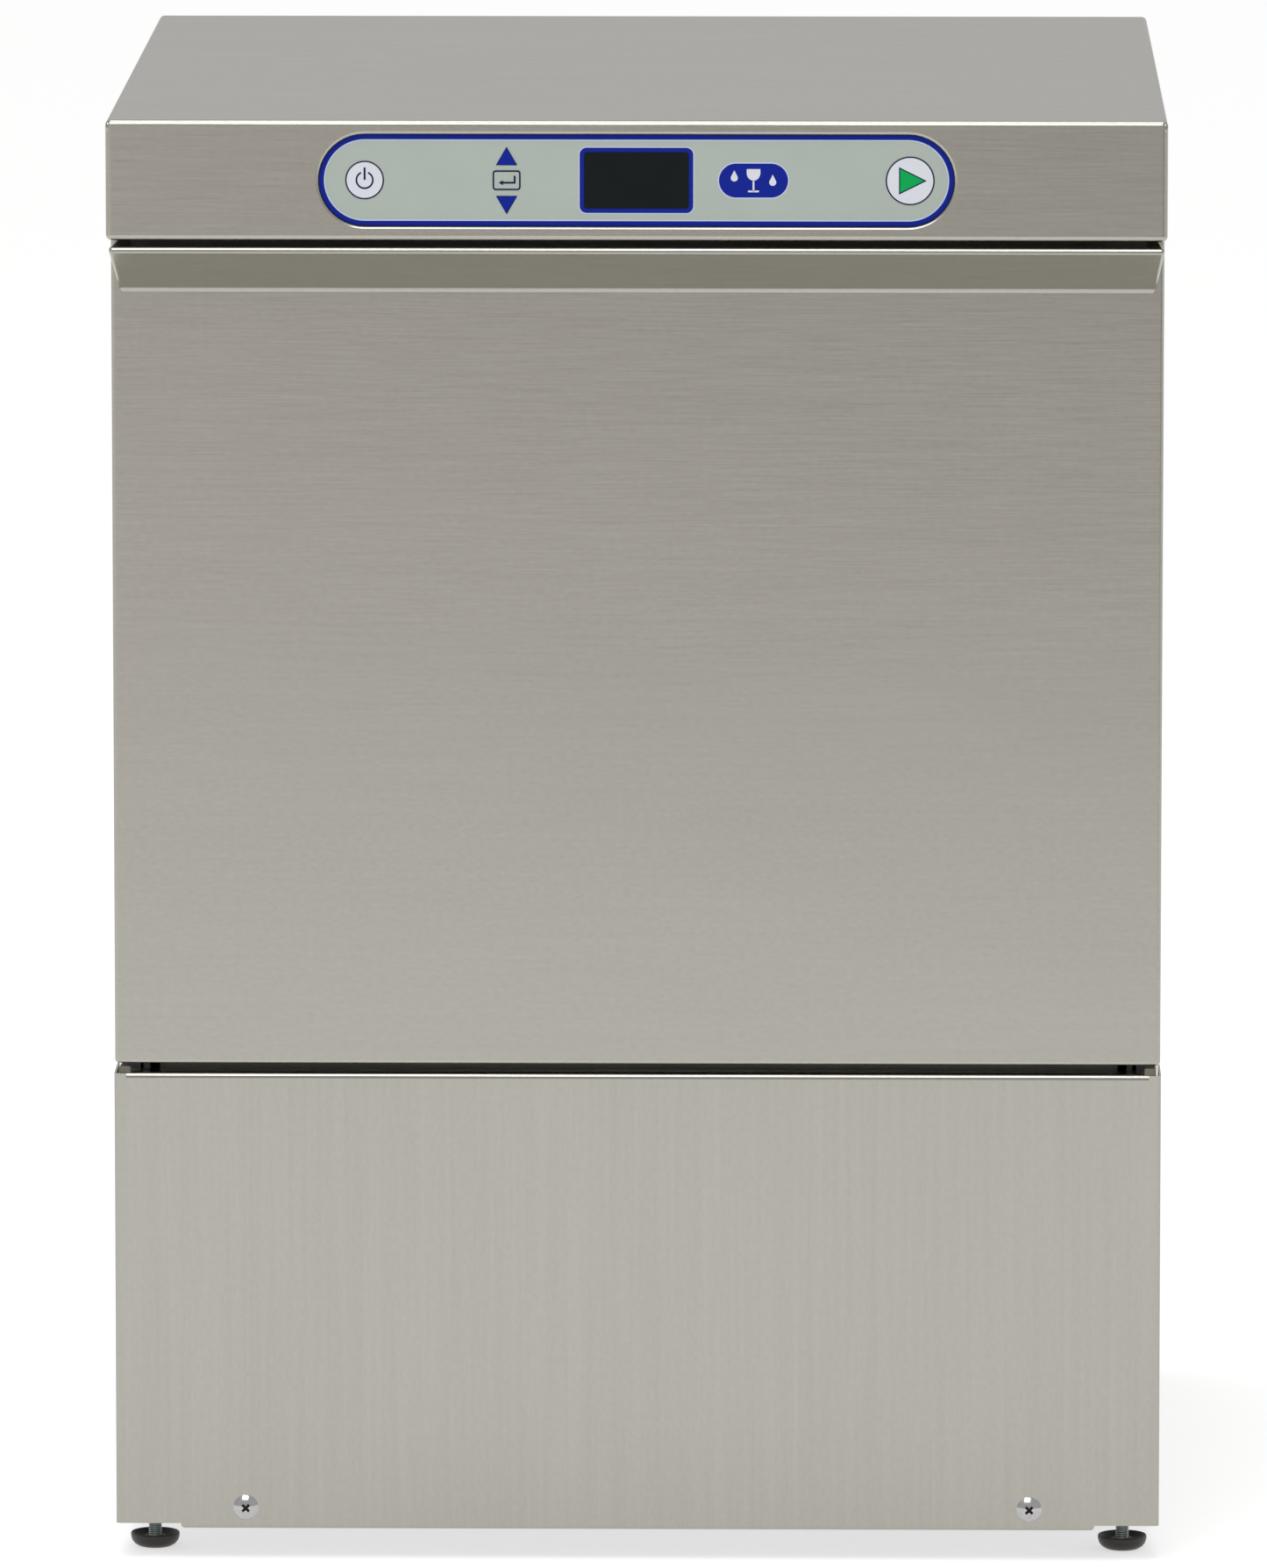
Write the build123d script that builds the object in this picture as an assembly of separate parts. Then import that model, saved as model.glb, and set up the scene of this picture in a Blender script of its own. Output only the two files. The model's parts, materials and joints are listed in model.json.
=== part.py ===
from build123d import *

import math
import os

# Under-counter commercial glass washer, built as an assembly of separate pieces.
# +X is to the right of someone facing the door, +Y to the back and +Z up, in millimetres.
# The origin is on the floor, under the middle of the machine's bounding box.

# ---------------------------------------------------------------- driving dimensions
LID_WIDTH = 608.0
LID_DEPTH = 660.0
TOTAL_DEPTH = 681.0  # lid front to the tips of the rear water fittings
HEIGHT = 846.0  # floor to lid top, feet part way out
LID_HEIGHT = 69.3
DOOR_WIDTH = 606.0
KICK_WIDTH = 607.0
BODY_WIDTH = 604.0
FOLD = 8.0  # front and back folds of the side panels
SKIN = 1.2  # outer sheet
LINER = 1.5  # tank and frame sheet
LIP_REACH = 38.0  # how far the handle lip and the lid stand in front of the door face

FRONT = -TOTAL_DEPTH / 2  # lid front
DOOR_FACE = FRONT + LIP_REACH
LID_BACK = FRONT + LID_DEPTH
BACK = TOTAL_DEPTH / 2

LID_BOTTOM = HEIGHT - LID_HEIGHT
DOOR_TOP = 773.0
LIP_BEND_Z = 745.1  # where the door face turns out into the lip
LIP_EDGE = 3.4  # height of the lip's rounded nose
LIP_END_INSET = (4.5, 2.4, 0.5)  # how far each end of the lip is cut back: at its bend, top and nose
DOOR_BOTTOM = 293.4
KICK_TOP = 288.1
KICK_BOTTOM = 22.0

# door build-up, front to back
PAN_BACK = DOOR_FACE + 24.5  # back edge of the outer pan
LINER_FACE = PAN_BACK + 11.7  # inner face of the door, which meets the gasket

# hinge
HINGE_Y = DOOR_FACE + 12.0
HINGE_Z = DOOR_BOTTOM + 13.0
PIN_R = 4.0
RUN_FIT = 0.05  # radial clearance of everything that turns
LEVER_X = (284.0, 287.0)
EAR_X = (293.5, 296.5)
LEVER_REACH = (34.0, -40.0)  # hinge axis to spring hook, in Y and Z
SPRING_X = 285.5
SPRING_R = 5.5
SPRING_Z = (112.0, 208.0)  # the close-wound length
ANCHOR_Z = 86.0

# front frame and wash chamber
FRAME_FACE = -256.5
FRAME_BACK = FRAME_FACE + LINER
TANK_HALF = 260.0
TANK_BACK = 266.0
TANK_FLOOR = 326.0
TANK_CEILING = 756.0
WELL_HALF = 190.0
WELL_Y = (-150.0, 170.0)
WELL_FLOOR = 250.0

# sump, in the well under the strainer plate: X and Y of each opening
SUCTION = (-20.0, 140.0)
SUCTION_R = 18.0
BASKET = (95.0, -85.0)
BASKET_R = 41.5
BASKET_WALL = 1.2
BASKET_BOTTOM = 260.8
DRAIN_NECK_R = 12.0
HEATER_X = (-150.0, -120.0)  # where the element's two ends go through the well's front
HEATER_Z = 275.0
HEATER_R = 4.0

# spray arms turn about this vertical line
ARM_Y = 5.0
SPINDLE_R = 9.0
SPINDLE_BODY_R = 14.0
WASH_ARM_LENGTH = 238.0
WASH_ARM_HEIGHT = 12.0
RINSE_ARM_LENGTH = 208.0
LOWER_WASH_Z = 335.0
LOWER_RINSE_Z = 351.0
UPPER_WASH_Z = 736.0
UPPER_RINSE_Z = 722.0
LOWER_SPINDLE_Z = (232.0, 331.0, 371.0)  # inlet, shoulder under the arms, top
UPPER_SPINDLE_Z = (792.0, 752.0, 712.0)

# wash pump and its pipes
PUMP_Y, PUMP_Z = 140.0, 112.0
SHAFT_R = 8.0
PUMP_OUTLET = (-84.0, 95.0)
PUMP_OUTLET_Z = 182.0
PIPE_Z = 206.0  # level run from the pump to the lower spindle
RISER_Y = 290.0
RISER_TOP = 777.0

# booster tank and rinse line
BOOSTER = (190.0, 190.0)
BOOSTER_R = 68.0
BOOSTER_Z = (38.0, 222.0)
RINSE_X = 225.0
RINSE_Y = 292.0
RINSE_TOP = 806.0

# drain pump
DRAIN_SHAFT_R = 3.0
DRAIN_PORT = (20.0, 262.0, -12.0)  # side port: X and Z from the pump's axis, and Y
DRAIN_PORT_END = 58.0

# dosing pumps
DOSER_X = (-200.0, -130.0)
DOSER_Z = 150.0
DOSER_FACE = -262.0
DOSER_PLATE = (-236.0, -234.0)
DOSER_SHAFT_R = 5.0
ROLLER_REACH = 13.0

# control box
BOX_X = (62.0, 248.0)
BOX_Y = (-248.0, -112.0)
BOX_Z = (52.0, 214.0)

# levelling feet
FOOT_X = 283.0
FOOT_FRONT_Y = DOOR_FACE + 45.0
FOOT_REAR_Y = 288.0
STUD_R = 4.0
STUD_TOP = 66.0
TRAY_Z = 24.0
TRAY_WALL = 30.0

# control panel on the lid's front
PANEL_LENGTH = 364.0
PANEL_HEIGHT = 53.0
PANEL_Z = HEIGHT - 34.5
OVERLAY_FACE = FRONT + 2.9
KEY_TRAVEL = 0.5
DISPLAY = (65.0, 37.5)
KEYS = {  # name: (x, z offset, shape, size)
    "power_key": (-155.6, 0.0, "round", 10.9),
    "up_key": (-74.3, 13.2, "up", 6.5),
    "enter_key": (-74.3, 0.0, "box", 15.6),
    "down_key": (-74.3, -13.6, "down", 6.5),
    "start_key": (156.6, 0.0, "round", 13.8),
}

# kick panel screws
SCREW_X = 228.0
SCREW_Z = KICK_BOTTOM + 9.5

# rear fittings
REAR_FACE = 317.2
INLET = (225.0, 92.0)  # X and Z of the water inlet
INLET_R = 13.2
OUTLET = (-190.0, 92.0)  # X and Z of the drain outlet
OUTLET_R = 11.0
POWER_ENTRY = (120.0, 150.0)
POWER_ENTRY_R = 14.3
REAR_SCREW_X = 287.0
REAR_SCREW_Z = (60.0, 300.0, 540.0, 760.0)
LID_SCREW_X = (-250.0, 250.0)
LID_SCREW_Z = 830.0
SHEET_TOP = 838.0  # top of the rear panel and the rear posts


# ---------------------------------------------------------------- helpers
def block(x, y, z):
    """A box given by its (low, high) extents."""
    size = [high - low for low, high in (x, y, z)]
    centre = [(high + low) / 2 for low, high in (x, y, z)]
    return Pos(*centre) * Box(*size)


def rod(radius, start, end):
    """A cylinder from one point to another."""
    start, end = Vector(*start), Vector(*end)
    plane = Plane(origin=start, z_dir=end - start)
    length = (end - start).length
    return extrude(plane * Circle(radius), length)


def tube(outer, inner, start, end):
    return rod(outer, start, end) - rod(inner, start, end)


def bore(radius, centre, z):
    """A short upright cylinder that cuts a hole in a sheet lying at height z."""
    return rod(radius, (*centre, z - 10), (*centre, z + 10))


def pipe(points, radius, bend):
    """A round pipe along straight runs joined by arcs."""
    path = FilletPolyline(*points, radius=bend)
    first = Vector(*points[1]) - Vector(*points[0])
    section = Plane(origin=points[0], z_dir=first) * Circle(radius)
    return sweep(section, path=path)


def mirrored(shape):
    """The same shape on the other side of the machine."""
    return mirror(shape, about=Plane.YZ)


def both(shape):
    return [shape, mirrored(shape)]


def along(shape, axis):
    """The edges of a shape that run along an axis."""
    return shape.edges().filter_by(axis)


def stadium(length, height, y, depth, z=PANEL_Z):
    """A plate with round ends, facing the front, from y back by depth."""
    outline = Plane.XZ.offset(-y) * Pos(0, z) * SlotOverall(length, height)
    return extrude(outline, -depth)


def save(name, *pieces):
    """Writes one node: every solid of the pieces given."""
    solids = []
    for piece in pieces:
        solids += piece.solids()
    shape = solids[0] if len(solids) == 1 else Compound(children=solids)
    export_step(shape, os.path.join("parts", name + ".step"))


# ---------------------------------------------------------------- casing
def lid():
    """Folded top with rounded bends, a return under its front and the control panel's opening."""
    half = LID_WIDTH / 2
    bend = 3.2
    outer = fillet(block((-half, half), (FRONT, LID_BACK), (LID_BOTTOM, HEIGHT)).edges(), bend)
    inside_x = (-half + SKIN, half - SKIN)
    inner = block(inside_x, (FRONT + SKIN, LID_BACK - SKIN), (LID_BOTTOM + SKIN, HEIGHT - SKIN))
    inner = fillet(inner.edges(), bend - SKIN)
    open_bottom = block(inside_x, (FRONT + 16, LID_BACK - SKIN), (LID_BOTTOM - 1, LID_BOTTOM + 10))
    shell = outer - inner - open_bottom
    # the back skirt is shorter, to clear the rear panel's screws
    back_y = (LID_BACK - 5, LID_BACK + 1)
    shell -= block((-half + 8, half - 8), back_y, (LID_BOTTOM - 1, LID_BOTTOM + 36))
    # opening for the control panel, with its edge turned in
    shell += stadium(PANEL_LENGTH + 2 * SKIN, PANEL_HEIGHT + 2 * SKIN, FRONT, 4.5)
    shell -= stadium(PANEL_LENGTH, PANEL_HEIGHT, FRONT - 1, 8)
    rim = [
        edge
        for edge in shell.edges()
        if abs(edge.center().Y - FRONT) < 0.01
        and abs(edge.center().Z - PANEL_Z) < PANEL_HEIGHT / 2 + 0.1
        and abs(edge.center().X) < PANEL_LENGTH / 2 + 0.1
    ]
    shell = fillet(rim, 1.8)
    for x in LID_SCREW_X:
        shell -= rod(2.2, (x, back_y[0], LID_SCREW_Z), (x, back_y[1], LID_SCREW_Z))
    return shell


def side_panel():
    """The right side panel, folded in along its front, back and top."""
    half = BODY_WIDTH / 2
    top = HEIGHT - 1.8
    outer = block((half - FOLD, half), (FRAME_FACE - SKIN, REAR_FACE), (TRAY_Z, top))
    outer = fillet(along(outer, Axis.Z).group_by(Axis.X)[-1], 1.8)
    inside = (half - FOLD - 1, half - SKIN)
    panel = outer - block(inside, (FRAME_FACE, REAR_FACE - SKIN), (TRAY_Z - 1, top - SKIN))
    # the back fold stops at the corner, where the rear panel starts
    panel -= block((half - FOLD - 1, half - SKIN - 0.2), (REAR_FACE - 2, REAR_FACE + 1), (0, 900))
    # relief round the hinge bracket and in front of the tray
    panel -= block(inside, (FRAME_FACE - 2, FRAME_FACE), (258, 362))
    panel -= block(inside, (FRAME_FACE - 2, FRAME_FACE), (0, TRAY_Z + 32))
    return panel


def rear_panel():
    half = BODY_WIDTH / 2 - SKIN - 0.4
    sheet = block((-half, half), (REAR_FACE - SKIN, REAR_FACE), (TRAY_Z, SHEET_TOP))
    for row in range(9):
        z = 470 + row * 14
        slot = block((-90, 90), (REAR_FACE - 5, REAR_FACE + 5), (z, z + 5))
        sheet -= fillet(along(slot, Axis.Y), 2.4)
    for (x, z), radius in ((INLET, INLET_R + 2), (OUTLET, OUTLET_R + 3), (POWER_ENTRY, POWER_ENTRY_R)):
        sheet -= rod(radius, (x, REAR_FACE - 5, z), (x, REAR_FACE + 5, z))
    for x, z in rear_screw_places() + [(x, LID_SCREW_Z) for x in LID_SCREW_X]:
        sheet -= rod(2.1, (x, REAR_FACE - 5, z), (x, REAR_FACE + 5, z))
    return sheet


def rear_screw_places():
    return [(x, z) for x in (-REAR_SCREW_X, REAR_SCREW_X) for z in REAR_SCREW_Z]


def kick_panel():
    """Lower front panel: side returns, a rolled top edge and a lower tongue."""
    half = KICK_WIDTH / 2
    depth = (DOOR_FACE, FRAME_FACE - 4)
    outer = block((-half, half), depth, (KICK_BOTTOM, KICK_TOP - 0.8))
    outer = fillet(along(outer, Axis.Z).group_by(Axis.Y)[0], 2.2)
    inner = block((-half + SKIN, half - SKIN), (DOOR_FACE + SKIN, 0), (0, 400))
    inner = fillet(along(inner, Axis.Z).group_by(Axis.Y)[0], 1.0)
    panel = outer - inner
    bend = 3.4
    top_half = half - 7
    panel -= block((-top_half, top_half), (DOOR_FACE - 1, DOOR_FACE + 5), (KICK_TOP - bend, KICK_TOP))
    roll = block((-top_half, top_half), (DOOR_FACE, DOOR_FACE + 14), (250, KICK_TOP))
    roll = fillet(along(roll, Axis.X).group_by(Axis.Z)[-1].sort_by(Axis.Y)[0], bend)
    core = block((-half, half), (DOOR_FACE + SKIN, DOOR_FACE + 20), (240, KICK_TOP - SKIN))
    core = fillet(along(core, Axis.X).group_by(Axis.Z)[-1].sort_by(Axis.Y)[0], bend - SKIN)
    panel += roll - core
    tongue_half = 266.0
    tongue = block((-tongue_half, tongue_half), (DOOR_FACE, DOOR_FACE + 12), (KICK_BOTTOM - 3, 44))
    tongue = fillet(along(tongue, Axis.Y).group_by(Axis.Z)[0], 2.5)
    tongue = fillet(along(tongue, Axis.X).group_by(Axis.Z)[0].sort_by(Axis.Y)[0], 2.0)
    floor = block((-half, half), (DOOR_FACE + SKIN, DOOR_FACE + 20), (KICK_BOTTOM - 3 + SKIN, 60))
    floor = fillet(along(floor, Axis.X).group_by(Axis.Z)[0].sort_by(Axis.Y)[0], 0.8)
    panel += tongue - floor
    for x in (-SCREW_X, SCREW_X):
        panel -= rod(2.9, (x, DOOR_FACE - 1, SCREW_Z), (x, DOOR_FACE + 4, SCREW_Z))
    return panel


def truss_screw(x, z, face, toward, head_r=7.4, head_h=3.0, length=10.0, shank_r=2.4):
    """A domed cross-head screw; toward is -1 for a head on the front, 1 on the back."""
    dome_r = (head_r**2 + head_h**2) / (2 * head_h)
    dome = Pos(0, 0, head_h - dome_r) * Sphere(dome_r)
    head = dome & Pos(0, 0, head_h / 2) * Cylinder(head_r, head_h)
    for turn in (0, 90):
        head -= Pos(0, 0, head_h) * Rot(0, 0, turn) * Box(head_r * 0.62, 1.1, 3.2)
    shank = Pos(0, 0, -length / 2) * Cylinder(shank_r, length)
    plane = Plane(origin=(x, face, z), x_dir=(1, 0, 0), z_dir=(0, toward, 0))
    return plane * (head + shank)


# ---------------------------------------------------------------- frame
def base_frame():
    """Tray, corner nuts for the feet and the posts that carry the tank."""
    half = BODY_WIDTH / 2 - SKIN - 0.6
    front, back = DOOR_FACE + SKIN, REAR_FACE - SKIN
    tray = block((-half, half), (front, back), (TRAY_Z, TRAY_Z + TRAY_WALL))
    tray -= block(
        (-half + LINER, half - LINER), (front + LINER, back - LINER), (TRAY_Z + LINER, 200)
    )
    for x in (-200, -80, 40, 160):
        slot = block((x, x + 60), (-20, -8), (TRAY_Z - 5, TRAY_Z + 10))
        tray -= fillet(along(slot, Axis.Z), 5)
    for x in (-SCREW_X, SCREW_X):
        tray -= rod(2.45, (x, front - 1, SCREW_Z), (x, front + 5, SCREW_Z))
    post = block((250, 275), (FRAME_BACK, -230), (TRAY_Z + 1, TANK_FLOOR - LINER))
    post -= block((245, 273), (FRAME_BACK + 2, -220), (0, 400))
    tray += both(post)
    rear = block((275, half), (back - 25, back), (TRAY_Z + 1, SHEET_TOP))
    rear -= block((270, half - 2), (back - 30, back - 2), (TRAY_Z + LINER, 900))
    tray += both(rear)
    for x, z in rear_screw_places():
        tray -= rod(2.1, (x, back - 6, z), (x, back + 1, z))
    for x in (-FOOT_X, FOOT_X):
        for y in (FOOT_FRONT_Y, FOOT_REAR_Y):
            nut = extrude(Pos(x, y, TRAY_Z) * RegularPolygon(8.0, 6), 10)
            tray += nut
            tray -= rod(STUD_R + RUN_FIT, (x, y, TRAY_Z - 1), (x, y, TRAY_Z + 40))
    return tray + both(spring_anchor())


def front_frame():
    """The sheet round the door opening, with slots for the hinge levers."""
    half = BODY_WIDTH / 2 - SKIN - 0.4
    sheet = block((-half, half), (FRAME_FACE, FRAME_BACK), (262, 840))
    hole = block((-TANK_HALF, TANK_HALF), (FRAME_FACE - 5, FRAME_BACK + 5), (TANK_FLOOR, TANK_CEILING))
    sheet -= fillet(along(hole, Axis.Y), 14)
    slot = block((SPRING_X - 6.5, SPRING_X + 4.7), (FRAME_FACE - 5, FRAME_BACK + 5), (250, 358))
    for cut in both(slot):
        sheet -= cut
    sheet -= block((-250, -150), (FRAME_FACE - 5, FRAME_BACK + 5), (790, 815))
    return sheet


def wash_tank():
    """Welded chamber with rounded corners and the sump well under it."""
    wall = LINER
    outer = block(
        (-TANK_HALF - wall, TANK_HALF + wall),
        (FRAME_BACK, TANK_BACK + wall),
        (TANK_FLOOR - wall, TANK_CEILING + wall),
    )
    outer = fillet(along(outer, Axis.Y), 14 + wall)
    outer = fillet(outer.edges().group_by(Axis.Y)[-1], 10 + wall)
    inner = block((-TANK_HALF, TANK_HALF), (FRAME_BACK, TANK_BACK), (TANK_FLOOR, TANK_CEILING))
    inner = fillet(along(inner, Axis.Y), 14)
    inner = fillet(inner.edges().group_by(Axis.Y)[-1], 10)
    mouth = block((-TANK_HALF, TANK_HALF), (FRAME_BACK - 5, FRAME_BACK + 5), (TANK_FLOOR, TANK_CEILING))
    inner += fillet(along(mouth, Axis.Y), 14)
    well = block(
        (-WELL_HALF - wall, WELL_HALF + wall),
        (WELL_Y[0] - wall, WELL_Y[1] + wall),
        (WELL_FLOOR - wall, TANK_FLOOR),
    )
    well = fillet(along(well, Axis.Z), 20 + wall)
    pocket = block((-WELL_HALF, WELL_HALF), WELL_Y, (WELL_FLOOR, TANK_FLOOR + 10))
    pocket = fillet(along(pocket, Axis.Z), 20)
    tank = (outer + well) - inner - pocket
    tank -= bore(SPINDLE_BODY_R + 0.3, (0, ARM_Y), WELL_FLOOR)
    tank -= bore(SPINDLE_BODY_R + 0.3, (0, ARM_Y), TANK_CEILING)
    tank -= bore(SUCTION_R, SUCTION, WELL_FLOOR)
    tank -= bore(DRAIN_NECK_R, BASKET, WELL_FLOOR)
    for x in HEATER_X:
        tank -= rod(HEATER_R + 0.1, (x, WELL_Y[0] - 10, HEATER_Z), (x, WELL_Y[0] + 10, HEATER_Z))
    return tank


def rack_rail():
    """The right-hand rail that carries the glass rack."""
    flat = block((236, 260), (-240, 250), (374, 375.5))
    upright = block((258.5, 260), (-240, 250), (374, 400))
    nose = block((236, 237.5), (-240, 250), (367, 374))
    return flat + upright + nose


def door_gasket():
    """Rubber seal round the door opening."""
    depth = (LINER_FACE + 0.3, FRAME_FACE)
    ring = block((-279, 279), depth, (308.5, 772.0))
    ring = fillet(along(ring, Axis.Y), 24)
    hole = block((-266, 266), (depth[0] - 1, depth[1] + 1), (321, 760))
    return ring - fillet(along(hole, Axis.Y), 14)


# ---------------------------------------------------------------- door
# corners of the door's side view that are bent, and their outer radius; minus is concave
DOOR_BENDS = (
    (DOOR_FACE, DOOR_BOTTOM, 2.0),
    (DOOR_FACE, LIP_BEND_Z, -3.5),
    (FRONT, DOOR_TOP - LIP_EDGE, 1.2),
    (FRONT, DOOR_TOP, 2.2),
)


def door_profile(inset=0.0):
    """Side view of the door's outer pan, in Y and Z; inset draws the inside of the sheet."""
    corners = [(y, z) for y, z, radius in DOOR_BENDS]
    outline = make_face(Polyline((PAN_BACK, DOOR_BOTTOM), *corners, (PAN_BACK, DOOR_TOP), close=True))
    if inset:
        outline = offset(outline, -inset, kind=Kind.INTERSECTION)
        height = DOOR_TOP - DOOR_BOTTOM - 2 * inset
        open_back = Pos(PAN_BACK, (DOOR_TOP + DOOR_BOTTOM) / 2) * Rectangle(12, height)
        outline += open_back
    for y, z, radius in DOOR_BENDS:
        corner = min(outline.vertices(), key=lambda vertex: math.hypot(vertex.X - y, vertex.Y - z))
        outline = fillet(corner, max(abs(radius - inset), 0.3))
    return Plane.YZ * outline


def lip_end_cut(half, inset):
    """Wedge that cuts the right end of the lip back on a slant, in front of the door's face."""
    face = DOOR_FACE + inset
    bend_inset, top_inset, nose_inset = LIP_END_INSET
    at_bend = Vector(half - bend_inset, face, LIP_BEND_Z)
    at_top = Vector(half - top_inset, face, DOOR_TOP)
    at_nose = Vector(half - nose_inset, FRONT, DOOR_TOP)
    outward = (at_top - at_bend).cross(at_nose - at_bend)
    beyond = extrude(Plane(origin=at_bend, z_dir=outward) * Rectangle(200, 200), 60)
    return beyond & block((half - 30, half + 5), (FRONT - 5, face), (LIP_BEND_Z - 30, DOOR_TOP + 5))


def door_solid(half, inset=0.0):
    """The right half of the door's pan as a closed solid, or its inside when inset by the sheet."""
    solid = extrude(door_profile(inset), half)
    solid -= lip_end_cut(half, inset)
    corner = [
        edge
        for edge in along(solid, Axis.Z)
        if edge.center().X > half - 0.01 and edge.center().Y < DOOR_FACE + inset + 0.01
    ]
    solid = fillet(corner, 2.2 - inset)
    end_x = half - (LIP_END_INSET[0] + LIP_END_INSET[2]) / 2
    halfway = Vector(end_x, (FRONT + DOOR_FACE) / 2, (LIP_BEND_Z + DOOR_TOP) / 2)
    slant = [edge for edge in solid.edges() if (edge.center() - halfway).length < 6]
    return fillet(slant, 1.8 - inset)


def door_outer_panel():
    """Front skin with its handle lip, side returns, top and bottom flange."""
    half = DOOR_WIDTH / 2
    right = door_solid(half) - door_solid(half - SKIN, SKIN)
    panel = right + mirrored(right)
    # corner relief for the hinge brackets, and slots for the levers
    corner_x = (EAR_X[0] - 1.2, half + 1)
    corner = block(corner_x, (DOOR_FACE + 3, PAN_BACK + 1), (280, DOOR_BOTTOM + 1.4))
    slot_x = (LEVER_X[0] - 1.2, LEVER_X[1] + 1.2)
    slot = block(slot_x, (DOOR_FACE + 6, PAN_BACK + 1), (280, DOOR_BOTTOM + 2))
    for cut in both(corner) + both(slot):
        panel -= cut
    for x in (-275, 275):
        panel -= rod(1.25, (x, HINGE_Y, 280), (x, HINGE_Y, 300))
    return panel


def door_inner_panel():
    """Back plate of the door and the raised liner that meets the gasket."""
    half = DOOR_WIDTH / 2
    plate = block((-half + 1.5, half - 1.5), (PAN_BACK, PAN_BACK + SKIN), (296, DOOR_TOP - 0.5))
    relief = block((LEVER_X[0] - 2.5, half + 1), (PAN_BACK - 1, PAN_BACK + 3), (280, 322))
    for cut in both(relief):
        plate -= cut
    wide, low, high = 281, HINGE_Z + 1.5, DOOR_TOP - 3
    raised = block((-wide, wide), (PAN_BACK, LINER_FACE), (low, high))
    raised = fillet(along(raised, Axis.Y), 16)
    raised = fillet(raised.edges().group_by(Axis.Y)[-1], 2.5)
    inside = wide - SKIN
    hollow = block((-inside, inside), (PAN_BACK - 1, LINER_FACE - SKIN), (low + SKIN, high - SKIN))
    hollow = fillet(along(hollow, Axis.Y), 15)
    panel = plate + raised - hollow
    # stiffening channels pressed into the liner
    for z in (430, 540, 650):
        channel = block((-200, 200), (LINER_FACE - 1.0, LINER_FACE + 1), (z - 9, z + 9))
        channel = fillet(along(channel, Axis.Y), 8.9)
        back = block((-200, 200), (LINER_FACE - 1.0 - SKIN, LINER_FACE - 0.9), (z - 10, z + 10))
        back = fillet(along(back, Axis.Y), 9.9)
        panel = panel + back - channel
    for x, z in liner_screw_places():
        panel -= rod(1.7, (x, PAN_BACK - 2, z), (x, PAN_BACK + 3, z))
    return panel


def liner_screw_places():
    return [(x, z) for x in (-291, 291) for z in (360, 540, 720)]


def door_screws():
    """Screws that hold the liner, and the pair under the hinge corners."""
    screws = [
        truss_screw(x, z, PAN_BACK + SKIN, 1, head_r=3.4, head_h=1.7, length=8, shank_r=1.6)
        for x, z in liner_screw_places()
    ]
    for x in (-275, 275):
        shank = rod(1.2, (x, HINGE_Y, DOOR_BOTTOM), (x, HINGE_Y, DOOR_BOTTOM + 4.8))
        screws.append(shank + rod(2.4, (x, HINGE_Y, DOOR_BOTTOM - 1), (x, HINGE_Y, DOOR_BOTTOM)))
    return screws


def hinge_lever():
    """Right-hand lever and the block that ties it to the door skin."""
    hook = (HINGE_Y + LEVER_REACH[0], HINGE_Z + LEVER_REACH[1])
    plate = Plane.YZ.offset(LEVER_X[0]) * make_hull(
        (Pos(HINGE_Y, HINGE_Z) * Circle(10.5)).edges() + (Pos(*hook) * Circle(6.0)).edges()
    )
    lever = extrude(plate, LEVER_X[1] - LEVER_X[0])
    lever -= rod(2.2, (LEVER_X[0] - 1, *hook), (LEVER_X[1] + 1, *hook))
    lug = block((262, LEVER_X[0]), (DOOR_FACE + SKIN, HINGE_Y + 8), (HINGE_Z - 8, HINGE_Z + 14))
    lever += lug
    return lever - rod(PIN_R, (270, HINGE_Y, HINGE_Z), (LEVER_X[1] + 1, HINGE_Y, HINGE_Z))


def hinge_pin():
    return rod(PIN_R, (270, HINGE_Y, HINGE_Z), (EAR_X[1] + 1.5, HINGE_Y, HINGE_Z))


def hinge_bracket():
    """Right-hand bracket: a foot on the front frame and an ear with a bush seat."""
    foot = block((290.5, 300.4), (FRAME_FACE - 2, FRAME_FACE), (268, 348))
    arm = block(EAR_X, (HINGE_Y, FRAME_FACE - 2), (HINGE_Z - 8.5, HINGE_Z + 8.5))
    round_end = rod(8.5, (EAR_X[0], HINGE_Y, HINGE_Z), (EAR_X[1], HINGE_Y, HINGE_Z))
    seat = rod(6.0, (EAR_X[0] - 1, HINGE_Y, HINGE_Z), (EAR_X[1] + 1, HINGE_Y, HINGE_Z))
    return foot + arm + round_end - seat


def hinge_bush():
    flange = rod(7.6, (EAR_X[0] - 1.2, HINGE_Y, HINGE_Z), (EAR_X[0], HINGE_Y, HINGE_Z))
    sleeve = rod(6.0, (EAR_X[0], HINGE_Y, HINGE_Z), (EAR_X[1], HINGE_Y, HINGE_Z))
    bore = rod(PIN_R + RUN_FIT, (280, HINGE_Y, HINGE_Z), (310, HINGE_Y, HINGE_Z))
    return flange + sleeve - bore


def door_spring():
    """Right-hand extension spring from the lever's hook down to its anchor."""
    y = HINGE_Y + LEVER_REACH[0]
    hook_z = HINGE_Z + LEVER_REACH[1]
    low, high = SPRING_Z
    body = tube(SPRING_R, SPRING_R - 1.2, (SPRING_X, y, low), (SPRING_X, y, high))
    for z, end in ((low, ANCHOR_Z), (high, hook_z - 7.0)):
        body += rod(SPRING_R, (SPRING_X, y, z - 0.6), (SPRING_X, y, z + 0.6))
        body += rod(0.8, (SPRING_X, y, z), (SPRING_X, y, end))
    return body


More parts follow.
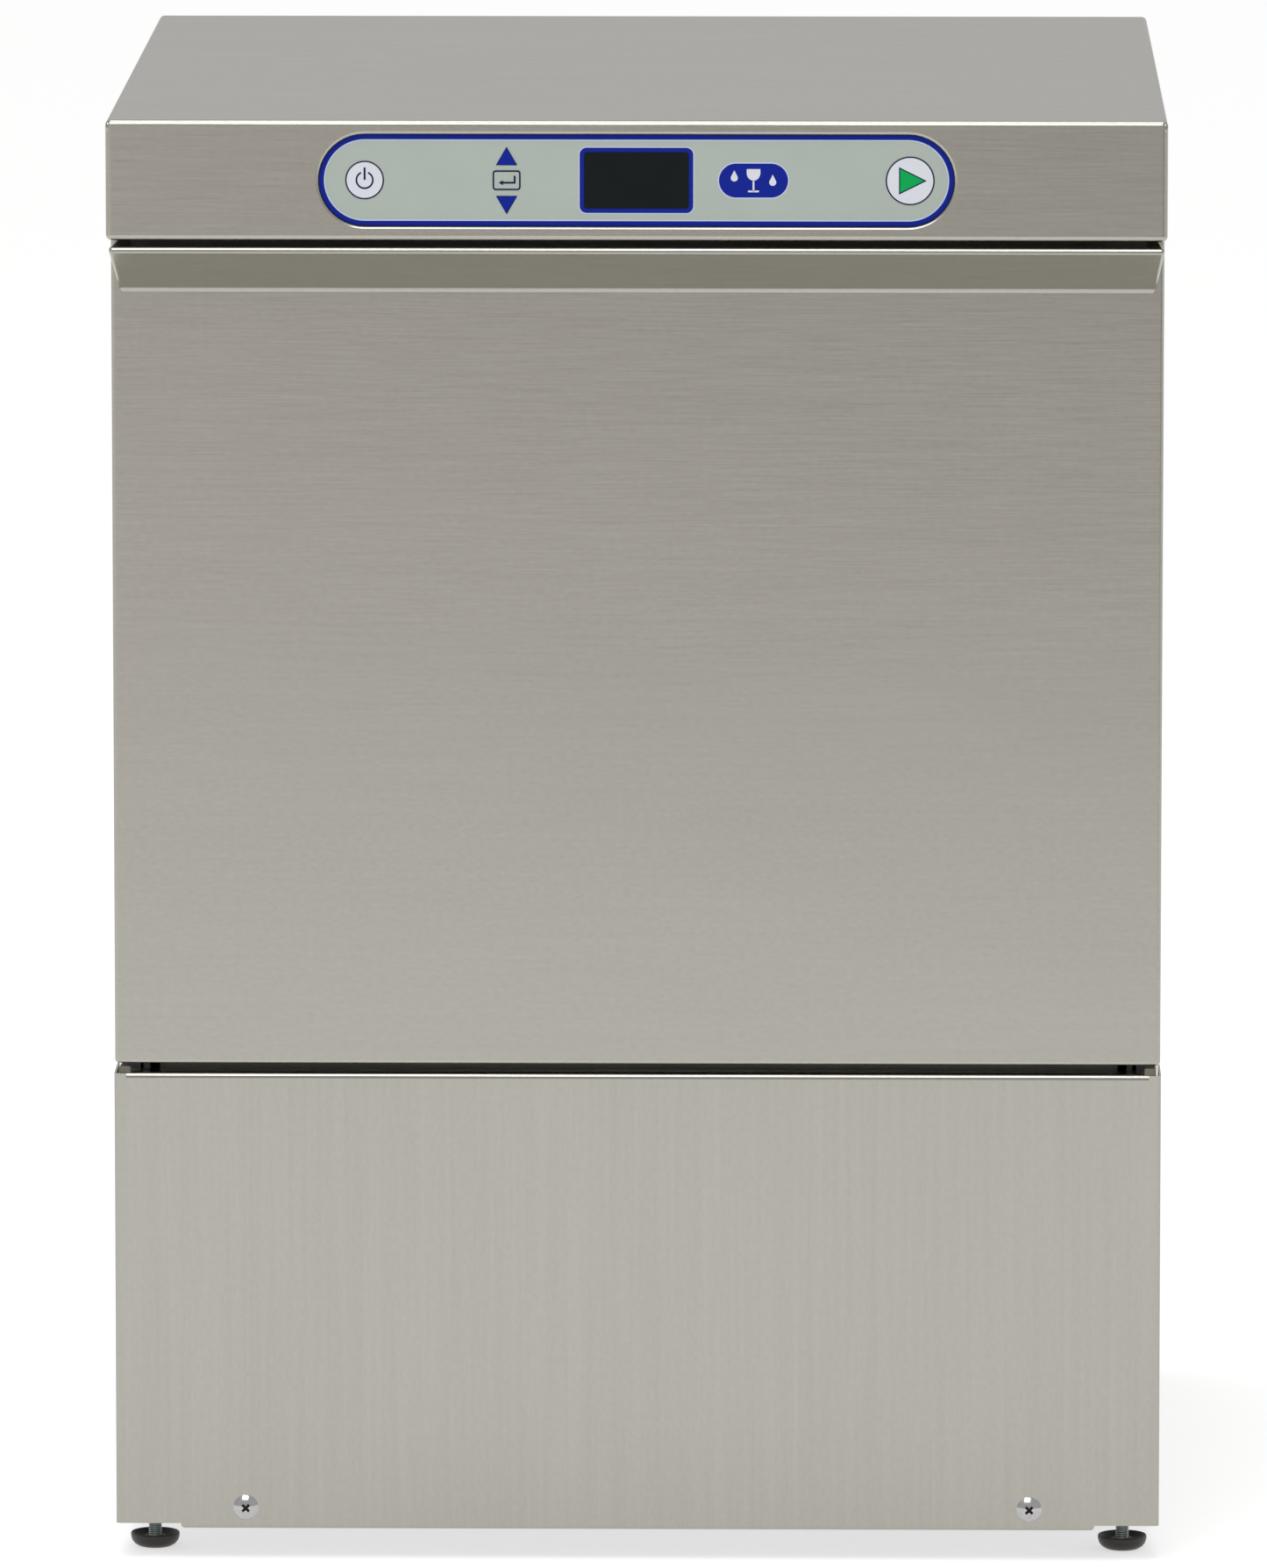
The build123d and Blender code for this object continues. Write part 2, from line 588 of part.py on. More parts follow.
def spring_anchor():
    """Bracket on the tray that the right-hand spring hangs from."""
    x = (SPRING_X - 6, SPRING_X + 6)
    y = HINGE_Y + LEVER_REACH[0]
    foot = block(x, (y + 8, y + 26), (TRAY_Z + LINER, TRAY_Z + LINER + 2))
    upright = block(x, (y + 8, y + 10), (TRAY_Z + LINER, ANCHOR_Z))
    shelf = block(x, (y - 5, y + 10), (ANCHOR_Z - 2, ANCHOR_Z))
    return foot + upright + shelf


# ---------------------------------------------------------------- spray system
def arm_blade(length, root, tip, low, high):
    """A flat spray arm, both blades, lying along X and centred on the spindle."""
    tips = [Pos(side * (length - tip), 0) * Circle(tip) for side in (-1, 1)]
    outline = make_hull(tips[0].edges() + tips[1].edges() + Circle(root).edges())
    return extrude(Pos(0, ARM_Y, low) * outline, high - low)


def wash_arm(low, jet_side):
    """Wash arm with ten jets; jet_side is 1 when they point up, -1 down."""
    high = low + WASH_ARM_HEIGHT
    arm = arm_blade(WASH_ARM_LENGTH, 25, 13, low, high)
    faces = arm.faces().sort_by(Axis.Z)
    arm = fillet(faces[0].edges() + faces[-1].edges(), 3.5)
    # the hub stands further out on the side that runs on the spindle's shoulder
    below, above = (3.5, 1.5) if jet_side > 0 else (1.5, 3.5)
    arm += rod(23, (0, ARM_Y, low - below), (0, ARM_Y, high + above))
    face = high if jet_side > 0 else low
    for side in (-1, 1):
        for index, x in enumerate((55, 95, 135, 175, 215)):
            y = ARM_Y + (4 if index % 2 else -4)
            root = (side * x, y, face - 2 * jet_side)
            arm += rod(4.5, root, (side * x, y, face + 1.6 * jet_side))
            arm -= rod(1.8, root, (side * x, y, face + 4 * jet_side))
    return arm - rod(SPINDLE_R + RUN_FIT, (0, ARM_Y, low - 10), (0, ARM_Y, high + 10))


def rinse_arm(low, jet_side):
    """Rinse arm across the wash arm, two round tubes on a hub."""
    mid = low + 5
    hub = rod(15, (0, ARM_Y, low), (0, ARM_Y, low + 10))
    half = rod(4.6, (0, ARM_Y, mid), (0, ARM_Y + RINSE_ARM_LENGTH, mid))
    other = rod(4.6, (0, ARM_Y, mid), (0, ARM_Y - RINSE_ARM_LENGTH, mid))
    arm = hub + half + other
    for side in (-1, 1):
        for reach in (60, 110, 160, 198):
            y = ARM_Y + side * reach
            arm += rod(2.6, (0, y, mid), (0, y, mid + 6.2 * jet_side))
    return arm - rod(SPINDLE_R + RUN_FIT, (0, ARM_Y, low - 10), (0, ARM_Y, low + 20))


def spindle(heights, wall, toward):
    """Fixed post that two arms turn on, with its knob; toward is 1 where it stands, -1 where it hangs."""

    def disc(radius, start, stop):
        return rod(radius, (0, ARM_Y, start), (0, ARM_Y, stop))

    inlet, shoulder, tip = heights
    body = disc(SPINDLE_BODY_R, inlet, shoulder)
    collar = disc(20, wall, wall + 4 * toward)
    post = disc(SPINDLE_R, shoulder, tip)
    cap = disc(13, tip - 8.5 * toward, tip - 2 * toward)
    grip = extrude(Pos(0, ARM_Y, tip - 5 * toward) * RegularPolygon(9, 6), 6 * toward)
    return body + collar + post + cap + grip


def strainer_plate():
    plate = block((-200, 200), (-162, 182), (TANK_FLOOR, TANK_FLOOR + 1.5))
    plate = fillet(along(plate, Axis.Z), 24)
    plate -= bore(SPINDLE_BODY_R + 1.5, (0, ARM_Y), TANK_FLOOR)
    plate -= bore(BASKET_R + 0.5, BASKET, TANK_FLOOR)
    pitch = 36
    for row in range(9):
        for column in range(10):
            x, y = -162 + column * pitch, -130 + row * pitch
            near_hub = math.hypot(x, y - ARM_Y) < 30
            near_basket = math.hypot(x - BASKET[0], y - BASKET[1]) < 58
            if not near_hub and not near_basket:
                plate -= bore(5, (x, y), TANK_FLOOR)
    return plate


def strainer_basket():
    """Cup with a rim that hangs in the strainer plate, slots in its bottom and a bail handle."""
    inside = BASKET_R - BASKET_WALL
    rim_z = TANK_FLOOR + LINER
    cup = rod(BASKET_R, (*BASKET, BASKET_BOTTOM), (*BASKET, rim_z + LINER))
    cup += rod(BASKET_R + 5.5, (*BASKET, rim_z), (*BASKET, rim_z + LINER))
    cup -= rod(inside, (*BASKET, BASKET_BOTTOM + BASKET_WALL), (*BASKET, rim_z + 5))
    for offset_y in (-24, 24):
        for offset_x in (-14, 0, 14):
            cup -= bore(4, (BASKET[0] + offset_x, BASKET[1] + offset_y), BASKET_BOTTOM)
    left, right = BASKET[0] - 12, BASKET[0] + 12
    y, foot, top = BASKET[1], BASKET_BOTTOM + 0.2, rim_z - 7.5
    handle = pipe([(left, y, foot), (left, y, top), (right, y, top), (right, y, foot)], 1.6, 10)
    return cup + handle


def tank_heater():
    """Double hairpin element lying in the well, through its front wall."""
    outer, inner = HEATER_X
    front, turn = WELL_Y[0] - 22, -20
    corners = [
        (outer, front),
        (outer, 130),
        (-outer, 130),
        (-outer, turn),
        (-inner, turn),
        (-inner, 100),
        (inner, 100),
        (inner, front),
    ]
    element = pipe([(x, y, HEATER_Z) for x, y in corners], HEATER_R, 14.5)
    face = WELL_Y[0] - LINER
    flange = block((outer - 15, inner + 15), (face - 4, face), (HEATER_Z - 13, HEATER_Z + 13))
    return element + flange


# ---------------------------------------------------------------- wash pump
def wash_pump_casing():
    """Volute with an axial inlet on its right and a vertical outlet."""
    axis = (PUMP_Y, PUMP_Z)
    outer = rod(60, (-108, *axis), (-60, *axis))
    outer += rod(20, (-60, *axis), (-40, *axis))
    outer += rod(15, (*PUMP_OUTLET, PUMP_Z + 10), (*PUMP_OUTLET, PUMP_OUTLET_Z))
    inner = rod(52, (-103, *axis), (-65, *axis))
    inner += rod(15, (-66, *axis), (-39, *axis))
    inner += rod(11, (*PUMP_OUTLET, PUMP_Z + 14), (*PUMP_OUTLET, PUMP_OUTLET_Z + 1))
    inner += rod(SHAFT_R + RUN_FIT, (-109, *axis), (-102, *axis))
    return outer - inner


def wash_motor():
    """Finned motor housing with end bells, a terminal box and feet."""
    axis = (PUMP_Y, PUMP_Z)
    body = rod(50, (-270, *axis), (-118, *axis))
    for index in range(12):
        x = -250 + index * 10
        body += rod(56, (x, *axis), (x + 3, *axis))
    body += rod(58, (-118, *axis), (-108, *axis))
    body += rod(57, (-276, *axis), (-262, *axis))
    body += block((-220, -160), (PUMP_Y - 30, PUMP_Y + 30), (PUMP_Z + 45, PUMP_Z + 74))
    for x in (-245, -150):
        body += block((x - 12, x + 12), (PUMP_Y - 45, PUMP_Y + 45), (TRAY_Z + LINER, PUMP_Z - 20))
    shaft_way = rod(SHAFT_R + RUN_FIT, (-280, *axis), (-100, *axis))
    chamber = rod(44, (-262, *axis), (-122, *axis))
    fan_space = rod(48, (-273, *axis), (-262, *axis))
    return body - shaft_way - chamber - fan_space


def wash_pump_rotor():
    """Shaft, armature, cooling fan and impeller, turning as one."""
    axis = (PUMP_Y, PUMP_Z)
    rotor = rod(SHAFT_R, (-271, *axis), (-80, *axis))
    rotor += rod(36, (-235, *axis), (-140, *axis))
    rotor += rod(40, (-84, *axis), (-80, *axis))
    rotor += rod(40, (-100, *axis), (-97, *axis))
    for turn in range(0, 360, 60):
        vane = Pos(-90, *axis) * Rot(turn, 0, 0) * Pos(0, 0, 24) * Box(16, 4, 30)
        blade = Pos(-266.5, *axis) * Rot(turn + 15, 0, 0) * Pos(0, 0, 26) * Box(7, 3, 40)
        rotor += vane + blade
    return rotor


def suction_hose():
    """Elbow from the sump down to the pump's inlet."""
    x, y = SUCTION
    neck_z = WELL_FLOOR - 4
    neck = rod(22, (x, y, neck_z), (x, y, WELL_FLOOR - LINER))
    hose = pipe([(x, y, neck_z), (x, y, PUMP_Z), (-39.9, y, PUMP_Z)], 17.5, 19.8)
    return neck + hose


def wash_pipes():
    """Pump outlet to the lower spindle, and the riser to the upper one."""
    x, y = PUMP_OUTLET
    foot = [(x, y, PUMP_OUTLET_Z + 1), (x, y, PIPE_Z)]
    low = pipe(foot + [(0, ARM_Y, PIPE_Z), (0, ARM_Y, LOWER_SPINDLE_Z[0])], 12.5, 22)
    branch = [(x, y - 15, PIPE_Z), (x, RISER_Y, PIPE_Z)]
    riser = pipe(branch + [(x, RISER_Y, RISER_TOP), (0, ARM_Y, RISER_TOP)], 11, 34)
    riser -= rod(SPINDLE_BODY_R, (0, ARM_Y, RISER_TOP - 37), (0, ARM_Y, RISER_TOP + 23))
    nut = rod(15.5, (x, y, PUMP_OUTLET_Z), (x, y, PUMP_OUTLET_Z + 8))
    return low + riser + nut


# ---------------------------------------------------------------- rinse, fill and drain
def booster_body(inset=0.0):
    """The tank's round-shouldered outside, or its inside when inset by the wall."""
    low, high = BOOSTER_Z
    body = rod(BOOSTER_R - inset, (*BOOSTER, low + inset), (*BOOSTER, high - inset))
    return fillet(body.edges(), 12 - inset)


def booster_tank():
    """Small boiler with a heater boss and terminals on top, and three feet."""
    top = BOOSTER_Z[1]
    shell = booster_body() - booster_body(2.0)
    shell += rod(26, (*BOOSTER, top - 2), (*BOOSTER, top + 8))
    for turn in (45, 165, 285):
        foot = Pos(*BOOSTER, 36) * Rot(0, 0, turn) * Pos(52, 0, 0) * Box(20, 14, 21)
        shell += foot & block((0, 400), (0, 400), (TRAY_Z + LINER, BOOSTER_Z[0] + 1.5))
    for x in (-12, 0, 12):
        terminal = (BOOSTER[0] + x, BOOSTER[1])
        shell += rod(3, (*terminal, top + 8), (*terminal, top + 18))
    return shell


def rinse_pipe():
    """Booster to the top of the upper spindle."""
    start, level = BOOSTER_Z[1] - 7, BOOSTER_Z[1] + 22
    points = [
        (RINSE_X, BOOSTER[1], start),
        (RINSE_X, BOOSTER[1], level),
        (RINSE_X, RINSE_Y, level),
        (RINSE_X, RINSE_Y, RINSE_TOP),
        (0, ARM_Y, RINSE_TOP),
        (0, ARM_Y, UPPER_SPINDLE_Z[0]),
    ]
    return pipe(points, 6.0, [11, 24, 24, 10]) - booster_body()


def fill_valve():
    """Solenoid valve whose threaded inlet stands out of the rear panel."""
    x, z = INLET
    body = rod(INLET_R, (x, 290, z), (x, BACK, z))
    body += rod(17, (x, 300, z), (x, 311, z))
    body += block((x - 14, x + 14), (272, 292), (z - 14, z + 14))
    body += rod(16, (x, 280, z + 12), (x, 280, z + 46))
    body += rod(7, (x, 268, z), (x, 274, z))
    return body - rod(8, (x, 296, z), (x, BACK + 1, z))


def drain_pump():
    """Drain pump body with its outlet spigot through the rear panel."""
    x, z = OUTLET
    dx, port_y, dz = DRAIN_PORT
    port = (x + dx, port_y, z + dz)
    body = rod(34, (x, 232, z), (x, 282, z))
    body += rod(22, (x, 216, z), (x, 232, z))
    body += rod(OUTLET_R, (x, 280, z), (x, BACK, z))
    body += rod(12, port, (x + DRAIN_PORT_END, port_y, z + dz))
    body -= rod(28, (x, 250, z), (x, 278, z))
    body -= rod(7.5, (x, 270, z), (x, BACK + 1, z))
    body -= rod(9, port, (x + DRAIN_PORT_END + 1, port_y, z + dz))
    return body - rod(DRAIN_SHAFT_R + RUN_FIT, (x, 225, z), (x, 252, z))


def drain_pump_impeller():
    x, z = OUTLET
    wheel = rod(DRAIN_SHAFT_R, (x, 228, z), (x, 262, z))
    wheel += rod(12, (x, 253, z), (x, 268, z))
    for turn in range(0, 360, 72):
        wheel += Pos(x, 260.5, z) * Rot(0, turn, 0) * Pos(0, 0, 15) * Box(3, 15, 18)
    return wheel


def drain_hose():
    """Sump outlet, along the tray, to the drain pump."""
    x, y = BASKET
    neck_z, tray_level = WELL_FLOOR - 4, TRAY_Z + 24
    end_y, end_z = DRAIN_PORT[1], OUTLET[1] + DRAIN_PORT[2]
    neck = rod(16, (x, y, neck_z), (x, y, WELL_FLOOR - LINER))
    points = [
        (x, y, neck_z),
        (x, y, tray_level),
        (x, 80, tray_level),
        (60, end_y, tray_level),
        (-40, end_y, end_z),
        (OUTLET[0] + DRAIN_PORT_END + 0.1, end_y, end_z),
    ]
    return neck + pipe(points, DRAIN_NECK_R - 0.5, [30, 30, 40, 40])


# ---------------------------------------------------------------- dosing pumps
def dosing_bracket():
    """Upright plate on the tray that carries both dosing pumps."""
    wide = (DOSER_X[0] - 36, DOSER_X[1] + 36)
    base = TRAY_Z + LINER
    bracket = block(wide, DOSER_PLATE, (base, DOSER_Z + 46))
    bracket += block(wide, (DOSER_PLATE[0], DOSER_PLATE[1] + 22), (base, base + 2))
    for x in DOSER_X:
        way = (x, DOSER_PLATE[0] - 4, DOSER_Z), (x, DOSER_PLATE[1] + 4, DOSER_Z)
        bracket -= rod(DOSER_SHAFT_R + 0.4, *way)
    return bracket


def dosing_housings():
    """Pump heads in front of the bracket, gear motors behind it."""
    shells = []
    front, back = DOSER_PLATE
    for x in DOSER_X:
        head = rod(28, (x, DOSER_FACE, DOSER_Z), (x, front, DOSER_Z))
        head -= rod(24, (x, DOSER_FACE - 1, DOSER_Z), (x, front - 3, DOSER_Z))
        head -= block((x - 24, x + 24), (DOSER_FACE - 1, front - 3), (DOSER_Z - 32, DOSER_Z))
        head -= rod(DOSER_SHAFT_R + 0.4, (x, front - 9, DOSER_Z), (x, front + 6, DOSER_Z))
        motor = rod(18, (x, back, DOSER_Z), (x, back + 48, DOSER_Z))
        motor -= rod(DOSER_SHAFT_R + RUN_FIT, (x, back - 1, DOSER_Z), (x, back + 22, DOSER_Z))
        shells += [head, motor]
    return shells


def dosing_rotor(x):
    """Hub on the gear motor's shaft, with three rollers between two discs."""
    front, back = DOSER_FACE + 3, DOSER_PLATE[0] - 6
    rotor = rod(DOSER_SHAFT_R, (x, front, DOSER_Z), (x, DOSER_PLATE[1] + 20, DOSER_Z))
    rotor += rod(16, (x, front, DOSER_Z), (x, front + 2, DOSER_Z))
    rotor += rod(16, (x, back - 2, DOSER_Z), (x, back, DOSER_Z))
    for turn in (90, 210, 330):
        roller_x = x + ROLLER_REACH * math.cos(math.radians(turn))
        roller_z = DOSER_Z + ROLLER_REACH * math.sin(math.radians(turn))
        rotor += rod(4, (roller_x, front + 1, roller_z), (roller_x, back - 1, roller_z))
    return rotor


def dosing_tubes():
    """Squeeze tubes looped over the rotors."""
    y, low, reach = DOSER_FACE + 11, DOSER_Z - 60, 20.6
    loops = []
    for x in DOSER_X:
        left, right, top = x - reach, x + reach, DOSER_Z + reach
        points = [(left, y, low), (left, y, top), (right, y, top), (right, y, low)]
        loops.append(pipe(points, 2.8, reach - 0.1))
    return loops


# ---------------------------------------------------------------- electrics
def control_box():
    """Box open at the front, with two feet and three cable holes."""
    inside_x = (BOX_X[0] + SKIN, BOX_X[1] - SKIN)
    inside_z = (BOX_Z[0] + SKIN, BOX_Z[1] - SKIN)
    box = block(BOX_X, (BOX_Y[0] + 3, BOX_Y[1]), BOX_Z)
    box -= block(inside_x, (BOX_Y[0], BOX_Y[1] - SKIN), inside_z)
    for x in (80, 230):
        box += block((x - 10, x + 10), (-200, -160), (TRAY_Z + LINER, BOX_Z[0]))
    for x in (100, 140, 180):
        box -= rod(9, (x, BOX_Y[1] - 3, 80), (x, BOX_Y[1] + 1, 80))
    return box


def control_box_cover():
    wide = (BOX_X[0] - 1.5, BOX_X[1] + 1.5)
    tall = (BOX_Z[0] - 1.5, BOX_Z[1] + 1.5)
    cover = block(wide, (BOX_Y[0], BOX_Y[0] + 3), tall)
    cover = fillet(along(cover, Axis.Y), 4)
    for x in (BOX_X[0] + 8, BOX_X[1] - 8):
        for z in (BOX_Z[0] + 8, BOX_Z[1] - 8):
            cover += rod(3, (x, BOX_Y[0] - 1.5, z), (x, BOX_Y[0], z))
    return cover


def control_board():
    """Circuit board with relays, terminals, capacitors and a processor, and the transformer."""
    left, low = BOX_X[0] + 13, BOX_Z[0] + 43
    front = BOX_Y[0] + 22
    back = front + 1.6
    board = block((left, left + 160), (front, back), (low, low + 107))
    for column in range(4):
        x = left + 9 + column * 22
        board += block((x, x + 16), (front - 16, front), (low + 81, low + 101))
    for column in range(8):
        x = left + 9 + column * 12
        board += block((x, x + 10), (front - 12, front), (low + 5, low + 17))
    for dx, dz in ((125, 85), (145, 85), (125, 55)):
        board += rod(8, (left + dx, front - 14, low + dz), (left + dx, front, low + dz))
    board += block((left + 20, left + 50), (front - 3, front), (low + 35, low + 65))
    for dx in (5, 155):
        for dz in (5, 102):
            board += rod(2.5, (left + dx, back, low + dz), (left + dx, BOX_Y[1] - SKIN, low + dz))
    base, rear = BOX_Z[0] + SKIN, BOX_Y[1] - 38
    transformer = block((left + 15, left + 65), (rear - 50, rear), (base, base + 40))
    transformer += block((left + 23, left + 57), (rear - 56, rear + 6), (base + 6, base + 34))
    return board, transformer


def key_outline(shape, size):
    """A key's outline in the panel's plane, centred on the origin."""
    if shape == "round":
        return Circle(size)
    if shape == "box":
        return RectangleRounded(size, 11.0, 1.6)
    turn = 0 if shape == "up" else 180
    triangle = Polyline((-5.8, -4.4), (5.8, -4.4), (0, 5.6), close=True)
    return Rot(0, 0, turn) * make_face(triangle)


def key_solid(name, grow, front, back):
    """A key-shaped prism from y = front to y = back, grown all round."""
    x, dz, shape, size = KEYS[name]
    outline = key_outline(shape, size)
    if grow:
        outline = offset(outline, grow)
    plane = Plane(origin=(x, front, PANEL_Z + dz), x_dir=(1, 0, 0), z_dir=(0, -1, 0))
    return extrude(plane * outline, -(back - front))


def key(name):
    return key_solid(name, 0, OVERLAY_FACE - 0.35, OVERLAY_FACE + 0.9)


def display_block(inset, depth, corner):
    """A block the size of the display's opening, smaller by inset all round."""
    half_x, half_z = DISPLAY[0] / 2 - inset, DISPLAY[1] / 2 - inset
    opening = block((-half_x, half_x), depth, (PANEL_Z - half_z, PANEL_Z + half_z))
    return fillet(along(opening, Axis.Y), corner)


def keypad_overlay():
    sheet = stadium(PANEL_LENGTH - 0.8, PANEL_HEIGHT - 0.8, OVERLAY_FACE, 1.0)
    for name in KEYS:
        sheet -= key_solid(name, 0.25, OVERLAY_FACE - 1, OVERLAY_FACE + 2)
    return sheet - display_block(0, (OVERLAY_FACE - 1, OVERLAY_FACE + 2), 4)


def display_window():
    return display_block(0.1, (OVERLAY_FACE + 0.1, OVERLAY_FACE + 1.0), 3.9)


def keypad_backplate():
    inner = stadium(PANEL_LENGTH - 0.8, PANEL_HEIGHT - 0.8, OVERLAY_FACE + 1.0, 2.6)
    outer = stadium(PANEL_LENGTH + 16, PANEL_HEIGHT + 7, FRONT + 4.5, 2.0)
    plate = inner + outer
    for name in KEYS:
        plate -= key_solid(name, 0.25, OVERLAY_FACE, OVERLAY_FACE + 1.6)
    return plate - display_block(3, (FRONT, FRONT + 20), 1)


def display_module():
    """Display and its circuit board, behind the backplate."""
    back = FRONT + 6.5
    board = block((-60, 60), (back + 1, back + 2.6), (PANEL_Z - 24, PANEL_Z + 24))
    glass = block((-28, 28), (OVERLAY_FACE + 1.2, back + 1), (PANEL_Z - 15, PANEL_Z + 15))
    rear = block((-40, 40), (back + 2.6, back + 12), (PANEL_Z - 18, PANEL_Z + 18))
    return board + glass + rear


# ---------------------------------------------------------------- feet
def levelling_foot(x, y):
    """A threaded stud in a dished plastic pad."""
    outside = [(0, 0), (9.0, 0), (12.4, 2.2), (14.3, 6.0), (14.3, 8.4)]
    dish = [(12.6, 8.4), (11.0, 5.2), (0, 5.2)]
    pad = revolve(Plane.XZ * make_face(Polyline(*outside, *dish, close=True)), Axis.Z)
    pad -= rod(STUD_R, (0, 0, 2), (0, 0, 12))
    stud = rod(STUD_R, (0, 0, 2), (0, 0, STUD_TOP))
    return [Pos(x, y, 0) * pad, Pos(x, y, 0) * stud]


# ---------------------------------------------------------------- write every node
def main():
    os.makedirs("parts", exist_ok=True)

    save("lid", lid())
    right = side_panel()
    save("side_panel_right", right)
    save("side_panel_left", mirrored(right))
    save("rear_panel", rear_panel())
    save("kick_panel", kick_panel())
    front_screws = [truss_screw(x, SCREW_Z, DOOR_FACE, -1) for x in (-SCREW_X, SCREW_X)]
    back_screws = [
        truss_screw(x, z, REAR_FACE, 1, head_r=4, head_h=2, length=6, shank_r=2)
        for x, z in rear_screw_places()
    ]
    lid_screws = [
        truss_screw(x, LID_SCREW_Z, LID_BACK, 1, head_r=4, head_h=2, length=6, shank_r=2)
        for x in LID_SCREW_X
    ]
    save("casing_screws", *front_screws, *back_screws, *lid_screws)

    save("base_frame", base_frame())
    save("front_frame", front_frame())
    save("wash_tank", wash_tank())
    save("rack_rails", *both(rack_rail()))
    save("door_gasket", door_gasket())

    save("door_outer_panel", door_outer_panel())
    save("door_inner_panel", door_inner_panel())
    save("door_screws", *door_screws())
    save("hinge_levers", *both(hinge_lever()))
    save("hinge_pins", *both(hinge_pin()))
    save("hinge_brackets", *both(hinge_bracket()))
    save("hinge_bushes", *both(hinge_bush()))
    save("door_springs", *both(door_spring()))

    save("lower_wash_arm", wash_arm(LOWER_WASH_Z, 1))
    save("lower_rinse_arm", rinse_arm(LOWER_RINSE_Z, 1))
    save("upper_wash_arm", wash_arm(UPPER_WASH_Z, -1))
    save("upper_rinse_arm", rinse_arm(UPPER_RINSE_Z, -1))
    save("lower_spindle", spindle(LOWER_SPINDLE_Z, WELL_FLOOR, 1))
    save("upper_spindle", spindle(UPPER_SPINDLE_Z, TANK_CEILING, -1))
    save("strainer_plate", strainer_plate())
    save("strainer_basket", strainer_basket())
    save("tank_heater", tank_heater())

    save("wash_pump_casing", wash_pump_casing())
    save("wash_pump_motor", wash_motor())
    save("wash_pump_rotor", wash_pump_rotor())
    save("suction_hose", suction_hose())
    save("wash_pipes", wash_pipes())
    save("booster_tank", booster_tank())
    save("rinse_pipe", rinse_pipe())
    save("fill_valve", fill_valve())
    save("drain_pump", drain_pump())
    save("drain_pump_impeller", drain_pump_impeller())
    save("drain_hose", drain_hose())

    save("dosing_bracket", dosing_bracket())
    save("dosing_housings", *dosing_housings())
    for label, x in zip(("left", "right"), DOSER_X):
        save("dosing_rotor_" + label, dosing_rotor(x))
    save("dosing_tubes", *dosing_tubes())

    save("control_box", control_box())
    save("control_box_cover", control_box_cover())
    save("control_board", *control_board())
    save("keypad_overlay", keypad_overlay())
    save("keypad_backplate", keypad_backplate())
    save("display_window", display_window())
    save("display_module", display_module())
    for name in KEYS:
        save(name, key(name))

    for row, y in (("front", FOOT_FRONT_Y), ("rear", FOOT_REAR_Y)):
        for side, x in (("left", -FOOT_X), ("right", FOOT_X)):
            save(f"foot_{row}_{side}", *levelling_foot(x, y))


main()
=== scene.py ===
import json
import math

import bpy
from mathutils import Matrix, Vector


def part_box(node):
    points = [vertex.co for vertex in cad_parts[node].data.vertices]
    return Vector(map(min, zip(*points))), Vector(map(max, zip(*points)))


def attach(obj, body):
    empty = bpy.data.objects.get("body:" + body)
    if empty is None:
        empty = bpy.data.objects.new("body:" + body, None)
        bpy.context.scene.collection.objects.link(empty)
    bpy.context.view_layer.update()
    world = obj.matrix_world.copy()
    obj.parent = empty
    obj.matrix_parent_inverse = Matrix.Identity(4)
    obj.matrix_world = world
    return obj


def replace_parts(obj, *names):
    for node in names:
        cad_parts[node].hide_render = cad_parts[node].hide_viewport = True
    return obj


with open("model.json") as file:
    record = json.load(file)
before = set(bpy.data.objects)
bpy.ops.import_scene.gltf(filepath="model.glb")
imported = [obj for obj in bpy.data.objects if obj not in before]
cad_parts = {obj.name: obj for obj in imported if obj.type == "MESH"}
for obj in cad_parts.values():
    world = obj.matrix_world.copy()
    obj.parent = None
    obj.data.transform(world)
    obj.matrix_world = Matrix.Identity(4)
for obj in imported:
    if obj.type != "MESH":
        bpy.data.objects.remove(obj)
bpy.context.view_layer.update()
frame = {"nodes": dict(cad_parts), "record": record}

MM = 0.001
NODES = frame["nodes"]


